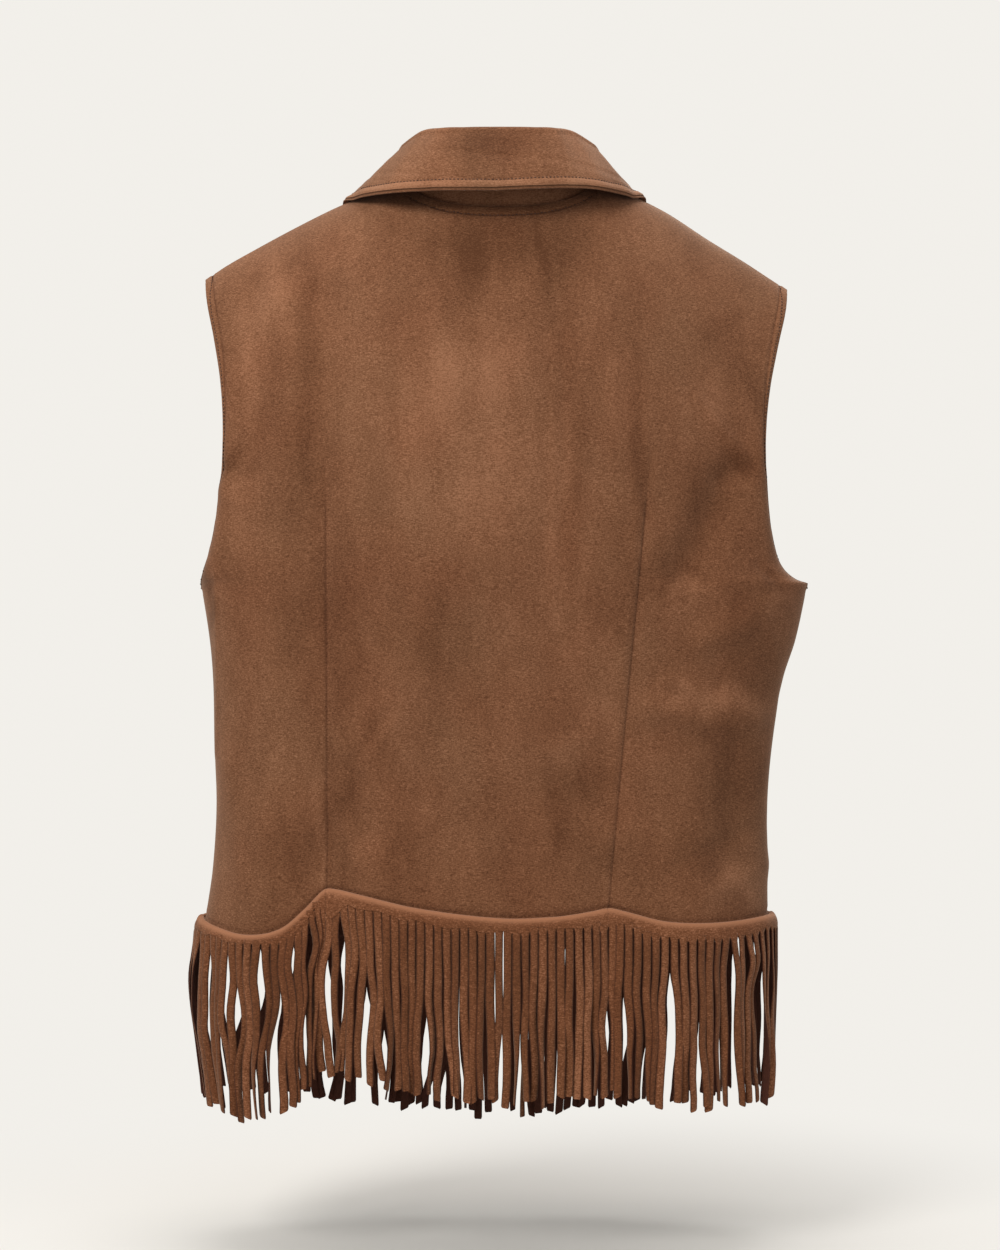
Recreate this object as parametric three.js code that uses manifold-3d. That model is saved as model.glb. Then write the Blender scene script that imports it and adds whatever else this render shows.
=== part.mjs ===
// A sleeveless western fringe vest in brown faux suede, hollow, hanging as it does when it is worn.
// It is a back with two long waist darts, two fronts that meet edge to edge, a rolled collar, and a
// cut fringe that is sewn round the outside of the hem in five lengths.
// The origin is midway between the two points where the shoulder seams meet the neck.
// +Z is up, the back faces -Y and the fronts face +Y, so +X is the wearer's right. Sizes are millimetres.
import * as THREE from "three";
import { mergeVertices } from "three/addons/utils/BufferGeometryUtils.js";
import Module from "manifold-3d";

const wasm = await Module();
wasm.setup();

// Driving dimensions
const CLOTH = 2; // wall of the turned and pressed faux suede
const SEAM_GAP = 0.3; // between two pieces that are sewn together
const UNDERARM_Z = -302; // where each side seam meets its armhole
const SQUARENESS = 2.5; // of the horizontal sections: 2 is an ellipse
const NECK = {
  halfWidth: 72,
  squareness: 2.6, // of the opening in plan
  back: { depth: 46, drop: 26, bend: 1.6 },
  front: { depth: 62, drop: 85, bend: 2.15 },
};
const SHOULDER_X = { left: 220.5, right: 215 }; // where each shoulder seam meets its armhole
const FRONT_OPENING = { neck: 5, hem: 14 }; // gap between the two fronts
const COLLAR = {
  cloth: 2.4,
  foldRadius: 3.4,
  seatDepth: 2.5, // the stand starts this far below the neck seam
  ease: 0.8, // between the stand and the inside of the neckline, more than at a plain seam
  clearance: 2.9, // from the middle of the collar's cloth to the shell
  foldOut: { left: 1.5, right: 0 },
  reach: { left: 1.04, right: 0.92 },
  bow: { left: 8, right: 0 },
};
const STRIP = { overlap: 6, height: 11, cloth: 1.8, flare: 5.4 }; // the uncut band that carries the strands
const STRAND = {
  pitch: 7.15,
  width: 6,
  cloth: 1.2,
  length: 124,
  uneven: 5, // the most that a strand is shorter
  rootDepth: 2.5, // of a strand inside the band
  endMargin: 1.6,
  bulge: 3, // out from the wall halfway down
  swing: { out: 2, into: 3 }, // the most that an end stands away from or towards the wearer
};

// Half widths to the left and right of the section at each height below the armholes, and its depths.
const SECTIONS = [
  { z: -572, left: 222.5, right: 201, back: 72, front: 80 },
  { z: -556, left: 221.5, right: 200.5, back: 71, front: 79 },
  { z: -539, left: 218.5, right: 200, back: 70, front: 78 },
  { z: -509, left: 214.5, right: 200, back: 67, front: 76 },
  { z: -464, left: 212, right: 200, back: 64, front: 74 },
  { z: -419, left: 213.5, right: 204, back: 64, front: 74 },
  { z: -374, left: 214.5, right: 211.5, back: 67, front: 77 },
  { z: -344, left: 217, right: 221, back: 70, front: 80 },
  { z: UNDERARM_Z, left: 223.5, right: 230, back: 74, front: 84 },
];

// Distance of each armhole edge from the centre, from the underarm (rise 0) to the shoulder (rise 1).
const ARMHOLES = [
  { rise: 0, left: 223.5, right: 230 },
  { rise: 0.012, left: 222.7, right: 221 },
  { rise: 0.046, left: 220, right: 211 },
  { rise: 0.1, left: 215.5, right: 204.5 },
  { rise: 0.2, left: 209.8, right: 199.3 },
  { rise: 0.35, left: 205, right: 196 },
  { rise: 0.5, left: 203.5, right: 195.3 },
  { rise: 0.65, left: 205.5, right: 198.5 },
  { rise: 0.8, left: 211.2, right: 205.3 },
  { rise: 0.92, left: 217.5, right: 212 },
  { rise: 1, left: SHOULDER_X.left, right: SHOULDER_X.right },
];

// Height of the shoulder seams at each distance from the centre. Inside the neck they go on unseen.
const SHOULDER_LINE = [
  { x: 0, left: 12, right: 12 },
  { x: 36, left: 9, right: 9 },
  { x: 72, left: 0, right: 0 },
  { x: 98, left: -10, right: -11 },
  { x: 125, left: -21.5, right: -24.5 },
  { x: 155, left: -36.5, right: -44 },
  { x: 182, left: -51, right: -60.5 },
  { x: 205, left: -64, right: -75.5 },
  { x: 221, left: -75, right: -86 },
];

// The seam where the fringe starts, seen from behind and from before.
const BACK_HEM = [
  { x: -226, z: -550 },
  { x: -208, z: -556 },
  { x: -184, z: -560 },
  { x: -160, z: -555 },
  { x: -143, z: -541 },
  { x: -130, z: -528 },
  { x: -124, z: -526 },
  { x: -105, z: -529 },
  { x: -60, z: -539 },
  { x: 0, z: -546 },
  { x: 40, z: -545 },
  { x: 66, z: -541.5 },
  { x: 79, z: -539.5 },
  { x: 92, z: -542 },
  { x: 120, z: -549 },
  { x: 160, z: -551 },
  { x: 206, z: -548 },
];
const FRONT_HEM = [
  { x: -226, z: -550 },
  { x: -180, z: -560 },
  { x: -110, z: -571 },
  { x: -40, z: -580 },
  { x: 0, z: -584 },
  { x: 40, z: -580 },
  { x: 110, z: -570 },
  { x: 165, z: -559 },
  { x: 206, z: -548 },
];

// The two back darts, which run from the shoulder blades to the hem.
const DARTS = {
  left: { hemX: -126.5, tipX: -127 },
  right: { hemX: 79, tipX: 107 },
  hemZ: -540,
  hemShare: 0.3, // of the crease's depth is left where the fringe is sewn over it
  tipZ: -233,
  fade: 40, // above the tip, the crease dies out over this height
  depth: 2.6,
  halfWidth: 5,
};

// Soft folds: each runs from one end to the other, with its width and how far it stands out.
const BACK_FOLDS = [
  { x0: -128, z0: -95, x1: -127, z1: -500, width: 13, out: -3.2 },
  { x0: -163, z0: -60, x1: -160, z1: -240, width: 17, out: 3.4 },
  { x0: -205, z0: -190, x1: -180, z1: -222, width: 9, out: -3 },
  { x0: -76, z0: -150, x1: -80, z1: -260, width: 9, out: -1.4 },
  { x0: 42, z0: -90, x1: 36, z1: -300, width: 12, out: -2 },
  { x0: 178, z0: -205, x1: 140, z1: -290, width: 17, out: -7 },
  { x0: 205, z0: -322, x1: 150, z1: -345, width: 12, out: 4 },
  { x0: 120, z0: -398, x1: 180, z1: -412, width: 11, out: 3.5 },
  { x0: 178, z0: -430, x1: 172, z1: -500, width: 20, out: -4.5 },
  { x0: 34, z0: -452, x1: 76, z1: -470, width: 15, out: -4 },
  { x0: -112, z0: -440, x1: -96, z1: -485, width: 14, out: -3.5 },
  { x0: -20, z0: -340, x1: -62, z1: -455, width: 22, out: -2.2 },
  { x0: -182, z0: -490, x1: -186, z1: -572, width: 30, out: 9 },
  { x0: -126, z0: -500, x1: -126, z1: -572, width: 22, out: -7 },
  { x0: 79, z0: -515, x1: 79, z1: -572, width: 16, out: -4 },
  { x0: 140, z0: -520, x1: 140, z1: -572, width: 30, out: 4 },
];
const FRONT_FOLDS = [
  { x0: -120, z0: -120, x1: -128, z1: -420, width: 16, out: -3.5 },
  { x0: 118, z0: -110, x1: 122, z1: -400, width: 16, out: -3.5 },
  { x0: -70, z0: -330, x1: -62, z1: -590, width: 20, out: 4 },
  { x0: 66, z0: -350, x1: 74, z1: -590, width: 20, out: 4 },
  { x0: -150, z0: -430, x1: -142, z1: -590, width: 24, out: -5 },
  { x0: 138, z0: -440, x1: 144, z1: -590, width: 24, out: -5 },
  { x0: -185, z0: -230, x1: -145, z1: -300, width: 16, out: -5 },
  { x0: 178, z0: -225, x1: 142, z1: -292, width: 16, out: -5 },
  { x0: -24, z0: -300, x1: -30, z1: -480, width: 16, out: -2.5 },
  { x0: 26, z0: -280, x1: 32, z1: -470, width: 16, out: -2.5 },
];

// The collar's fold and outer edge, measured from the neck seam at each station of NECK_SHARES. Station
// 0 is the nape, 5 the side and 10 the centre front. side is away from the centre, depth is along Y.
const COLLAR_GUIDES = [
  { station: 0, foldSide: 0, foldDepth: -8, foldRise: 55.5, edgeSide: 0, edgeDepth: -27, edgeRise: 9.5 },
  { station: 1, foldSide: 1, foldDepth: -8, foldRise: 54.2, edgeSide: 6, edgeDepth: -26, edgeRise: 8.4 },
  { station: 2, foldSide: 1.4, foldDepth: -7, foldRise: 50.8, edgeSide: 13, edgeDepth: -24, edgeRise: 4.6 },
  { station: 3, foldSide: -0.5, foldDepth: -4, foldRise: 44.6, edgeSide: 21, edgeDepth: -20, edgeRise: -1.1 },
  { station: 4, foldSide: 1, foldDepth: -1.5, foldRise: 30, edgeSide: 32, edgeDepth: -9, edgeRise: -7.6 },
  { station: 5, foldSide: 1, foldDepth: 0, foldRise: 17.5, edgeSide: 41.5, edgeDepth: 0, edgeRise: -15.5 },
  { station: 6, foldSide: 1, foldDepth: 0, foldRise: 19, edgeSide: 39.5, edgeDepth: 8, edgeRise: -25 },
  { station: 7, foldSide: 0.5, foldDepth: 0.8, foldRise: 17, edgeSide: 39, edgeDepth: 10, edgeRise: -31 },
  { station: 8, foldSide: 0.4, foldDepth: 1, foldRise: 15.5, edgeSide: 42, edgeDepth: 12, edgeRise: -38 },
  { station: 9, foldSide: 0, foldDepth: 1, foldRise: 14.5, edgeSide: 44, edgeDepth: 13, edgeRise: -38 },
  { station: 10, foldSide: 0, foldDepth: 1, foldRise: 14, edgeSide: 50, edgeDepth: 15, edgeRise: -42 },
];

// Where strands part and let the light through: the place on the back and on the fronts, the width,
// and the shares of the strands' length between which they stand apart.
const PARTINGS = [
  { back: -194, front: -208, width: 4, from: 0.05, to: 0.9 },
  { back: -172, front: -185, width: 4, from: 0.05, to: 0.6 },
  { back: -161, front: -173, width: 5, from: 0.3, to: 1 },
  { back: -140, front: -150, width: 3, from: 0.3, to: 1.1 },
  { back: -116, front: -125, width: 6, from: 0.1, to: 1 },
  { back: -98, front: -105, width: 4, from: 0.4, to: 1.1 },
  { back: -54, front: -58, width: 4, from: 0.4, to: 0.9 },
  { back: -40, front: -43, width: 3, from: 0.6, to: 1.1 },
  { back: 3, front: 34, width: 2.5, from: 0.5, to: 1.1 },
  { back: 88, front: 95, width: 4, from: 0.3, to: 0.8 },
  { back: 122, front: 131, width: 5, from: 0.15, to: 0.95 },
  { back: 145, front: 155, width: 3, from: 0.4, to: 1.1 },
  { back: 168, front: 180, width: 7, from: 0, to: 1.1 },
  { back: 184, front: 197, width: 5, from: 0.1, to: 0.9 },
];

const mix = (a, b, share) => a + (b - a) * share;
const clamp = (value, low, high) => Math.min(high, Math.max(low, value));
const smooth = (value) => {
  const t = clamp(value, 0, 1);
  return t * t * (3 - 2 * t);
};
// The same number from 0 to 1 each time for one index and purpose.
const chance = (index, purpose) => {
  const value = Math.sin(index * 12.9898 + purpose * 78.233) * 43758.5453;
  return value - Math.floor(value);
};

// A smooth curve through a table's rows, which rise in the key column.
function follow(table, key, column, at) {
  const last = table.length - 1;
  const place = clamp(at, table[0][key], table[last][key]);
  let i = 0;
  while (i < last - 1 && place > table[i + 1][key]) i += 1;
  const slope = (k) => {
    const a = table[Math.max(k - 1, 0)];
    const b = table[Math.min(k + 1, last)];
    return (b[column] - a[column]) / (b[key] - a[key]);
  };
  const step = table[i + 1][key] - table[i][key];
  const t = (place - table[i][key]) / step;
  return hermite(table[i][column], slope(i) * step, table[i + 1][column], slope(i + 1) * step, t);
}

function hermite(start, startPull, end, endPull, t) {
  const t2 = t * t;
  const t3 = t2 * t;
  return (2 * t3 - 3 * t2 + 1) * start + (t3 - 2 * t2 + t) * startPull
    + (3 * t2 - 2 * t3) * end + (t3 - t2) * endPull;
}

const sideAt = (x) => (x < 0 ? "left" : "right");
const roundness = (q) => (1 - q ** SQUARENESS) ** (1 / SQUARENESS);
const seamZ = (half, x) => follow(half.hem, "x", "z", x) - STRIP.overlap;

// How far a fold field pushes the cloth out at a point.
function foldAt(folds, x, z) {
  let out = 0;
  for (const f of folds) {
    const dx = f.x1 - f.x0;
    const dz = f.z1 - f.z0;
    const share = clamp(((x - f.x0) * dx + (z - f.z0) * dz) / (dx * dx + dz * dz), 0, 1);
    const away = Math.hypot(x - f.x0 - dx * share, z - f.z0 - dz * share) / f.width;
    out += f.out * Math.exp(-away * away);
  }
  return out;
}

const dartX = (dart, z) => mix(dart.hemX, dart.tipX, (z - DARTS.hemZ) / (DARTS.tipZ - DARTS.hemZ));

// The cloth is pinched in along each dart.
function dartAt(x, z) {
  const strength = smooth((DARTS.tipZ + DARTS.fade - z) / DARTS.fade)
    * mix(DARTS.hemShare, 1, smooth((z - DARTS.hemZ) / DARTS.fade));
  let pinch = 0;
  for (const dart of [DARTS.left, DARTS.right]) {
    const away = Math.abs(x - dartX(dart, z)) / DARTS.halfWidth;
    if (away < 1) pinch += DARTS.depth * (1 - away);
  }
  return -pinch * strength;
}

// The two halves of the shell. facing is -1 for the back and +1 for the fronts. startPull and neckPull
// shape the curve from the underarm's height up over the shoulder: a longer pull keeps the cloth flatter.
const BACK = {
  facing: -1,
  depthColumn: "back",
  hem: BACK_HEM,
  relief: (x, z) => foldAt(BACK_FOLDS, x, z) + dartAt(x, z),
  neck: NECK.back,
  startPull: 16,
  neckPull: 250,
};
const FRONT = {
  facing: 1,
  depthColumn: "front",
  hem: FRONT_HEM,
  relief: (x, z) => foldAt(FRONT_FOLDS, x, z),
  neck: NECK.front,
  startPull: 22,
  neckPull: 190,
};
const SHOULDER_PULL = { y: 150, z: 25 };
const ARMHOLE_PULL = { y: 150, z: 55 };

// A point of the shell in one row. x is the distance from the centre, negative on the left.
const shellAt = (half, x, row) => (
  row.upper === undefined ? lowerPoint(half, x, row) : upperPoint(half, x, row.upper)
);

function lowerPoint(half, x, row) {
  const q = Math.abs(x) / row.edge[sideAt(x)];
  const z = mix(seamZ(half, x), UNDERARM_Z, row.lower);
  const depth = follow(SECTIONS, "z", half.depthColumn, z) * roundness(q);
  return new THREE.Vector3(x, half.facing * (depth + half.relief(x, z) * (1 - q ** 6)), z);
}

// The upper shell is one smooth surface that the neckline cuts, so columns inside the neck end early.
function upperPoint(half, x, upper) {
  const across = Math.abs(x) / NECK.halfWidth;
  if (across >= 1) return upperPlace(half, x, upper).point;
  const lean = (1 - across ** NECK.squareness) ** (1 / NECK.squareness);
  let low = 0.4;
  let high = 1;
  for (let i = 0; i < 30; i += 1) {
    const middle = (low + high) / 2;
    if (upperPlace(half, x, middle).depth > half.neck.depth * lean) low = middle;
    else high = middle;
  }
  const cut = upperPlace(half, x, low).point;
  const { point } = upperPlace(half, x, upper * mix(1, low, upper));
  point.z += (-half.neck.drop * lean ** half.neck.bend - cut.z) * upper ** 5;
  return point;
}

function upperPlace(half, x, upper) {
  const side = sideAt(x);
  const q = Math.min(Math.abs(x) / armholeX(side, upper), 1);
  const start = follow(SECTIONS, "z", half.depthColumn, UNDERARM_Z) * roundness(q);
  const topX = q * SHOULDER_X[side];
  const topZ = follow(SHOULDER_LINE, "x", side, topX);
  const edge = q ** 8;
  const outer = smooth((topX - NECK.halfWidth) / (SHOULDER_X[side] - NECK.halfWidth));
  const startPull = {
    y: mix(half.startPull, ARMHOLE_PULL.y, edge),
    z: mix(0.9 * (topZ - UNDERARM_Z), ARMHOLE_PULL.z, edge),
  };
  const depth = hermite(start, startPull.y, 0, -mix(half.neckPull, SHOULDER_PULL.y, outer), upper);
  const z = hermite(UNDERARM_Z, startPull.z, topZ, SHOULDER_PULL.z, upper);
  const relief = half.relief(x, z) * (1 - q ** 6) * smooth((1 - upper) / 0.25);
  return { depth, point: new THREE.Vector3(x, half.facing * (depth + relief), z) };
}

// The armhole table is in heights, so the edge is found from the rise that the Hermite curve gives.
function armholeX(side, upper) {
  const tipZ = follow(SHOULDER_LINE, "x", side, SHOULDER_X[side]);
  const z = hermite(UNDERARM_Z, ARMHOLE_PULL.z, tipZ, SHOULDER_PULL.z, upper);
  return follow(ARMHOLES, "rise", side, (z - UNDERARM_Z) / (tipZ - UNDERARM_Z));
}

// Rows of the shell from the hem to the top edge, each with the distances of its two edges from the
// centre. lower is the share of the way to the underarm's height, and upper the share from there on.
const LOWER_SHARES = [0, 0.036, 0.12, 0.25, 0.4, 0.55, 0.7, 0.86];
const UPPER_SHARES = [0, 0.06, 0.14, 0.24, 0.36, 0.48, 0.6, 0.72, 0.83, 0.92, 1];
const SIDE_HEM_Z = BACK_HEM[0].z - STRIP.overlap;
const ROWS = [
  ...LOWER_SHARES.map((lower) => {
    const z = mix(SIDE_HEM_Z, UNDERARM_Z, lower);
    const edge = { left: follow(SECTIONS, "z", "left", z), right: follow(SECTIONS, "z", "right", z) };
    return { lower, z, edge };
  }),
  ...UPPER_SHARES.map(upperRow),
];

function upperRow(upper) {
  const z = mix(UNDERARM_Z, SHOULDER_LINE[SHOULDER_LINE.length - 1].left, upper);
  return { upper, z, edge: { left: armholeX("left", upper), right: armholeX("right", upper) } };
}

// Distances from the centre of a side's columns in one row: dense at the side, one on the dart and
// one each side of it, then round the neck. inner is where the piece ends at the centre.
const SIDE_STEPS = 5;
const DART_TO_NECK_STEPS = 2;
const NECK_SHARES = [1, 0.95, 0.82, 0.62, 0.36, 0]; // of the neck's half width, from the side to the centre
function columnsOf(half, side, row, inner) {
  const edge = row.edge[side];
  const dart = Math.abs(dartX(DARTS[side], row.z));
  const flank = half === BACK ? DARTS.halfWidth : 0;
  const columns = [];
  for (let i = 0; i < SIDE_STEPS; i += 1) columns.push(mix(edge, dart + flank, (i / SIDE_STEPS) ** 1.8));
  if (flank) columns.push(dart + flank);
  columns.push(dart);
  for (let i = flank ? 0 : 1; i < DART_TO_NECK_STEPS; i += 1) {
    columns.push(mix(dart - flank, NECK.halfWidth, i / DART_TO_NECK_STEPS));
  }
  for (const share of NECK_SHARES.slice(0, -1)) columns.push(share * NECK.halfWidth);
  columns.push(inner);
  return columns;
}

// A closed wall between a grid of outer points and the same grid moved in. Each quad is split along its
// shorter diagonal.
function wallGeometry(outer, inner) {
  const rows = outer.length;
  const columns = outer[0].length;
  const positions = [...outer.flat(), ...inner.flat()].flatMap((p) => [p.x, p.y, p.z]);
  const out = (r, c) => r * columns + c;
  const into = (r, c) => rows * columns + out(r, c);
  const index = [];
  const quad = (a, b, c, d) => index.push(a, b, c, a, c, d);
  for (let r = 0; r < rows - 1; r += 1) {
    for (let c = 0; c < columns - 1; c += 1) {
      const face = [out(r, c), out(r, c + 1), out(r + 1, c + 1), out(r + 1, c)];
      const back = [into(r, c), into(r + 1, c), into(r + 1, c + 1), into(r, c + 1)];
      const rising = outer[r][c].distanceTo(outer[r + 1][c + 1]);
      const falling = outer[r][c + 1].distanceTo(outer[r + 1][c]);
      if (rising > falling) {
        face.push(face.shift());
        back.push(back.shift());
      }
      quad(...face);
      quad(...back);
    }
  }
  for (let c = 0; c < columns - 1; c += 1) {
    quad(out(0, c), into(0, c), into(0, c + 1), out(0, c + 1));
    quad(out(rows - 1, c), out(rows - 1, c + 1), into(rows - 1, c + 1), into(rows - 1, c));
  }
  for (let r = 0; r < rows - 1; r += 1) {
    quad(out(r, 0), out(r + 1, 0), into(r + 1, 0), into(r, 0));
    quad(out(r, columns - 1), into(r, columns - 1), into(r + 1, columns - 1), out(r + 1, columns - 1));
  }
  const geometry = new THREE.BufferGeometry();
  geometry.setAttribute("position", new THREE.Float32BufferAttribute(positions, 3));
  geometry.setIndex(index);
  return geometry;
}

// Normals of a grid of points, facing the way that its rows and columns turn.
function gridNormals(grid) {
  const at = (r, c) => grid[clamp(r, 0, grid.length - 1)][clamp(c, 0, grid[0].length - 1)];
  return grid.map((line, r) => line.map((_, c) => {
    const across = at(r, c + 1).clone().sub(at(r, c - 1));
    const up = at(r + 1, c).clone().sub(at(r - 1, c));
    return across.cross(up).normalize();
  }));
}

// One panel of the shell. Its side and shoulder seams lie in the plane y = 0, where the cloth is moved
// in within that plane, so that two panels meet face to face.
function panel(half, columnsIn) {
  const outer = ROWS.map((row) => columnsIn(row).map((x) => {
    const point = shellAt(half, x, row);
    if (Math.abs(point.y) < SEAM_GAP / 2) point.y = (half.facing * SEAM_GAP) / 2;
    return point;
  }));
  const normals = gridNormals(outer);
  const inner = outer.map((line, r) => line.map((point, c) => {
    const normal = normals[r][c];
    if (Math.abs(point.y) <= SEAM_GAP) normal.setY(0).normalize();
    return point.clone().addScaledVector(normal, -CLOTH);
  }));
  return { geometry: wallGeometry(outer, inner), outer, normals };
}

function backColumns(row) {
  const left = columnsOf(BACK, "left", row, 0).map((x) => -x);
  const right = columnsOf(BACK, "right", row, 0).reverse();
  return [...left, ...right.slice(1)];
}

// The front edge, half the opening from the centre.
function frontEdge(row) {
  const height = (row.z - SIDE_HEM_Z) / (-NECK.front.drop - SIDE_HEM_Z);
  return mix(FRONT_OPENING.hem, FRONT_OPENING.neck, clamp(height, 0, 1)) / 2;
}
const frontLeftColumns = (row) => columnsOf(FRONT, "left", row, frontEdge(row)).map((x) => -x).reverse();
const frontRightColumns = (row) => columnsOf(FRONT, "right", row, frontEdge(row));

// Places on the upper shell with their outward normals, for keeping the collar clear of it.
const SHELL_SAMPLES = [BACK, FRONT].flatMap((half) => [-1, 1].flatMap((sign) => {
  const grid = [];
  for (let i = 0; i <= 40; i += 1) {
    const upper = mix(0.35, 1, i / 40);
    grid.push(Array.from({ length: 41 }, (_, j) => upperPoint(half, sign * mix(1, 160, j / 40), upper)));
  }
  return gridNormals(grid).flatMap((line, r) => line.map((normal, c) => {
    if (half.facing * sign > 0) normal.negate();
    return { place: grid[r][c], normal };
  }));
}));

// Moves a point out along the shell's normal until it has the collar's clearance. Near samples count most.
const SAMPLE_REACH = 5;
function settleOnShell(point) {
  for (let turn = 0; turn < 3; turn += 1) {
    const near = SHELL_SAMPLES.filter(({ place }) => Math.abs(point.x - place.x) < 25
      && Math.abs(point.y - place.y) < 25 && Math.abs(point.z - place.z) < 25);
    const nearest = Math.min(...near.map(({ place }) => point.distanceTo(place)));
    const normal = new THREE.Vector3();
    let clear = 0;
    let total = 0;
    for (const sample of near) {
      const weight = Math.exp(-(((point.distanceTo(sample.place) - nearest) / SAMPLE_REACH) ** 2));
      normal.addScaledVector(sample.normal, weight);
      clear += weight * point.clone().sub(sample.place).dot(sample.normal);
      total += weight;
    }
    const need = COLLAR.clearance - clear / total;
    if (need > 0) point.addScaledVector(normal.normalize(), need);
  }
}

// The collar, swept round the neck from one front edge to the other.
const LAST_STATION = 2 * (NECK_SHARES.length - 1);
function neckCorner(station, sign) {
  const half = station < LAST_STATION / 2 ? BACK : FRONT;
  const share = NECK_SHARES[Math.abs(station - LAST_STATION / 2)];
  const x = Math.max(share * NECK.halfWidth, station === LAST_STATION ? FRONT_OPENING.neck / 2 : 0);
  return upperPoint(half, sign * (x || 1e-6), 1);
}

// The seam runs straight between the corners that the panels have along the neckline.
function neckSeam(station, sign) {
  const low = Math.min(Math.floor(station), LAST_STATION - 1);
  return neckCorner(low, sign).lerp(neckCorner(low + 1, sign), station - low);
}

function collarSection(station, sign) {
  const side = sideAt(sign);
  const guide = (column) => follow(COLLAR_GUIDES, "station", column, station);
  const seam = neckSeam(station, sign);
  const before = neckSeam(Math.max(station - 0.5, 0), sign);
  const after = neckSeam(Math.min(station + 0.5, LAST_STATION), sign);
  const inward = new THREE.Vector3(before.y - after.y, after.x - before.x, 0);
  inward.multiplyScalar(sign).normalize();
  const upright = inward.y ** 2;
  const inset = SEAM_GAP + COLLAR.cloth / 2 + CLOTH * upright + COLLAR.ease * mix(0.5, 1, upright);
  const base = seam.clone().addScaledVector(inward, inset);
  base.z -= COLLAR.seatDepth * upright;
  const foldSide = guide("foldSide") + COLLAR.foldOut[side] * Math.sin((station / LAST_STATION) * Math.PI);
  const fold = seam.clone();
  fold.add(new THREE.Vector3(sign * foldSide, guide("foldDepth"), guide("foldRise")));
  const reach = COLLAR.reach[side];
  const edge = seam.clone();
  edge.add(new THREE.Vector3(sign * reach * guide("edgeSide"), guide("edgeDepth"), guide("edgeRise")));
  const away = edge.clone().sub(seam).setZ(0).normalize();
  const radius = COLLAR.foldRadius;
  const arcAt = (turn) => fold.clone()
    .addScaledVector(away, -radius * Math.cos(turn))
    .add(new THREE.Vector3(0, 0, radius * (Math.sin(turn) - 1)));
  const path = [base, base.clone().lerp(arcAt(0), 0.5)];
  for (let i = 0; i <= 3; i += 1) path.push(arcAt((i / 3) * Math.PI));
  const fallStart = arcAt(Math.PI);
  const bow = fallStart.clone().lerp(edge, 0.5).addScaledVector(away, COLLAR.bow[side]);
  for (let i = 1; i <= 4; i += 1) {
    const t = i / 4;
    path.push(fallStart.clone().multiplyScalar((1 - t) ** 2)
      .addScaledVector(bow, 2 * t * (1 - t))
      .addScaledVector(edge, t * t));
  }
  for (const point of path.slice(5)) settleOnShell(point);
  return path;
}

function collarGeometry() {
  const sections = [];
  for (let i = -2 * LAST_STATION; i <= 2 * LAST_STATION; i += 1) {
    sections.push(collarSection(Math.abs(i) / 2, i < 0 ? -1 : 1));
  }
  const normals = gridNormals(sections);
  const moved = (distance) => sections.map((line, r) => line.map((point, c) => (
    point.clone().addScaledVector(normals[r][c], distance)
  )));
  return wallGeometry(moved(COLLAR.cloth / 2), moved(-COLLAR.cloth / 2));
}

// A panel with its columns in the other order, so that its seam line starts at its right end.
function turned({ outer, normals }) {
  const flip = (row) => [...row].reverse();
  return { outer: outer.map(flip), normals: normals.map(flip) };
}

// The seam line of a panel's hem: places on the outer face of the shell with their outward directions.
function seamLine(made) {
  const line = made.outer[0].map((low, c) => {
    const high = made.outer[1][c];
    const outward = made.normals[0][c].clone().setZ(0).normalize();
    if (Math.abs(low.y) <= SEAM_GAP) outward.set(Math.sign(low.x), 0, 0);
    return { low, slope: high.clone().sub(low).divideScalar(high.z - low.z), outward, along: 0 };
  });
  for (let i = 1; i < line.length; i += 1) {
    const chord = line[i].low.clone().sub(line[i - 1].low).setZ(0);
    line[i].along = line[i - 1].along + chord.length();
  }
  return line;
}

// A place on the seam line, at a distance along it.
function placeOn(line, along) {
  let i = 0;
  while (i < line.length - 2 && along > line[i + 1].along) i += 1;
  const share = (along - line[i].along) / (line[i + 1].along - line[i].along);
  return {
    low: line[i].low.clone().lerp(line[i + 1].low, share),
    slope: line[i].slope.clone().lerp(line[i + 1].slope, share),
    outward: line[i].outward.clone().lerp(line[i + 1].outward, share).normalize(),
  };
}

// The direction of the seam line over the reach either side of a place, and the way out from it.
function headingOn(line, along, reach) {
  const last = line[line.length - 1].along;
  const before = placeOn(line, Math.max(along - reach, 0)).low;
  const after = placeOn(line, Math.min(along + reach, last)).low;
  const tangent = after.sub(before).setZ(0).normalize();
  const outward = new THREE.Vector3(tangent.y, -tangent.x, 0);
  if (outward.dot(placeOn(line, along).outward) < 0) outward.negate();
  return { tangent, outward };
}

// The band's section as distances out from the shell and down from the seam, with a rolled top edge.
const STRIP_SECTION = [
  { out: STRIP.flare, down: STRIP.height },
  { out: STRIP.flare, down: 7.5 },
  { out: SEAM_GAP, down: 1.6 },
  { out: 1.3, down: -0.8 },
  { out: 4.2, down: 0.6 },
  { out: STRIP.flare + STRIP.cloth, down: 5.5 },
  { out: STRIP.flare + STRIP.cloth, down: STRIP.height },
];

function stripPoint(place, { out, down }) {
  const rise = STRIP.overlap - down;
  return place.low.clone().addScaledVector(place.slope, rise).addScaledVector(place.outward, out);
}

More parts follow.
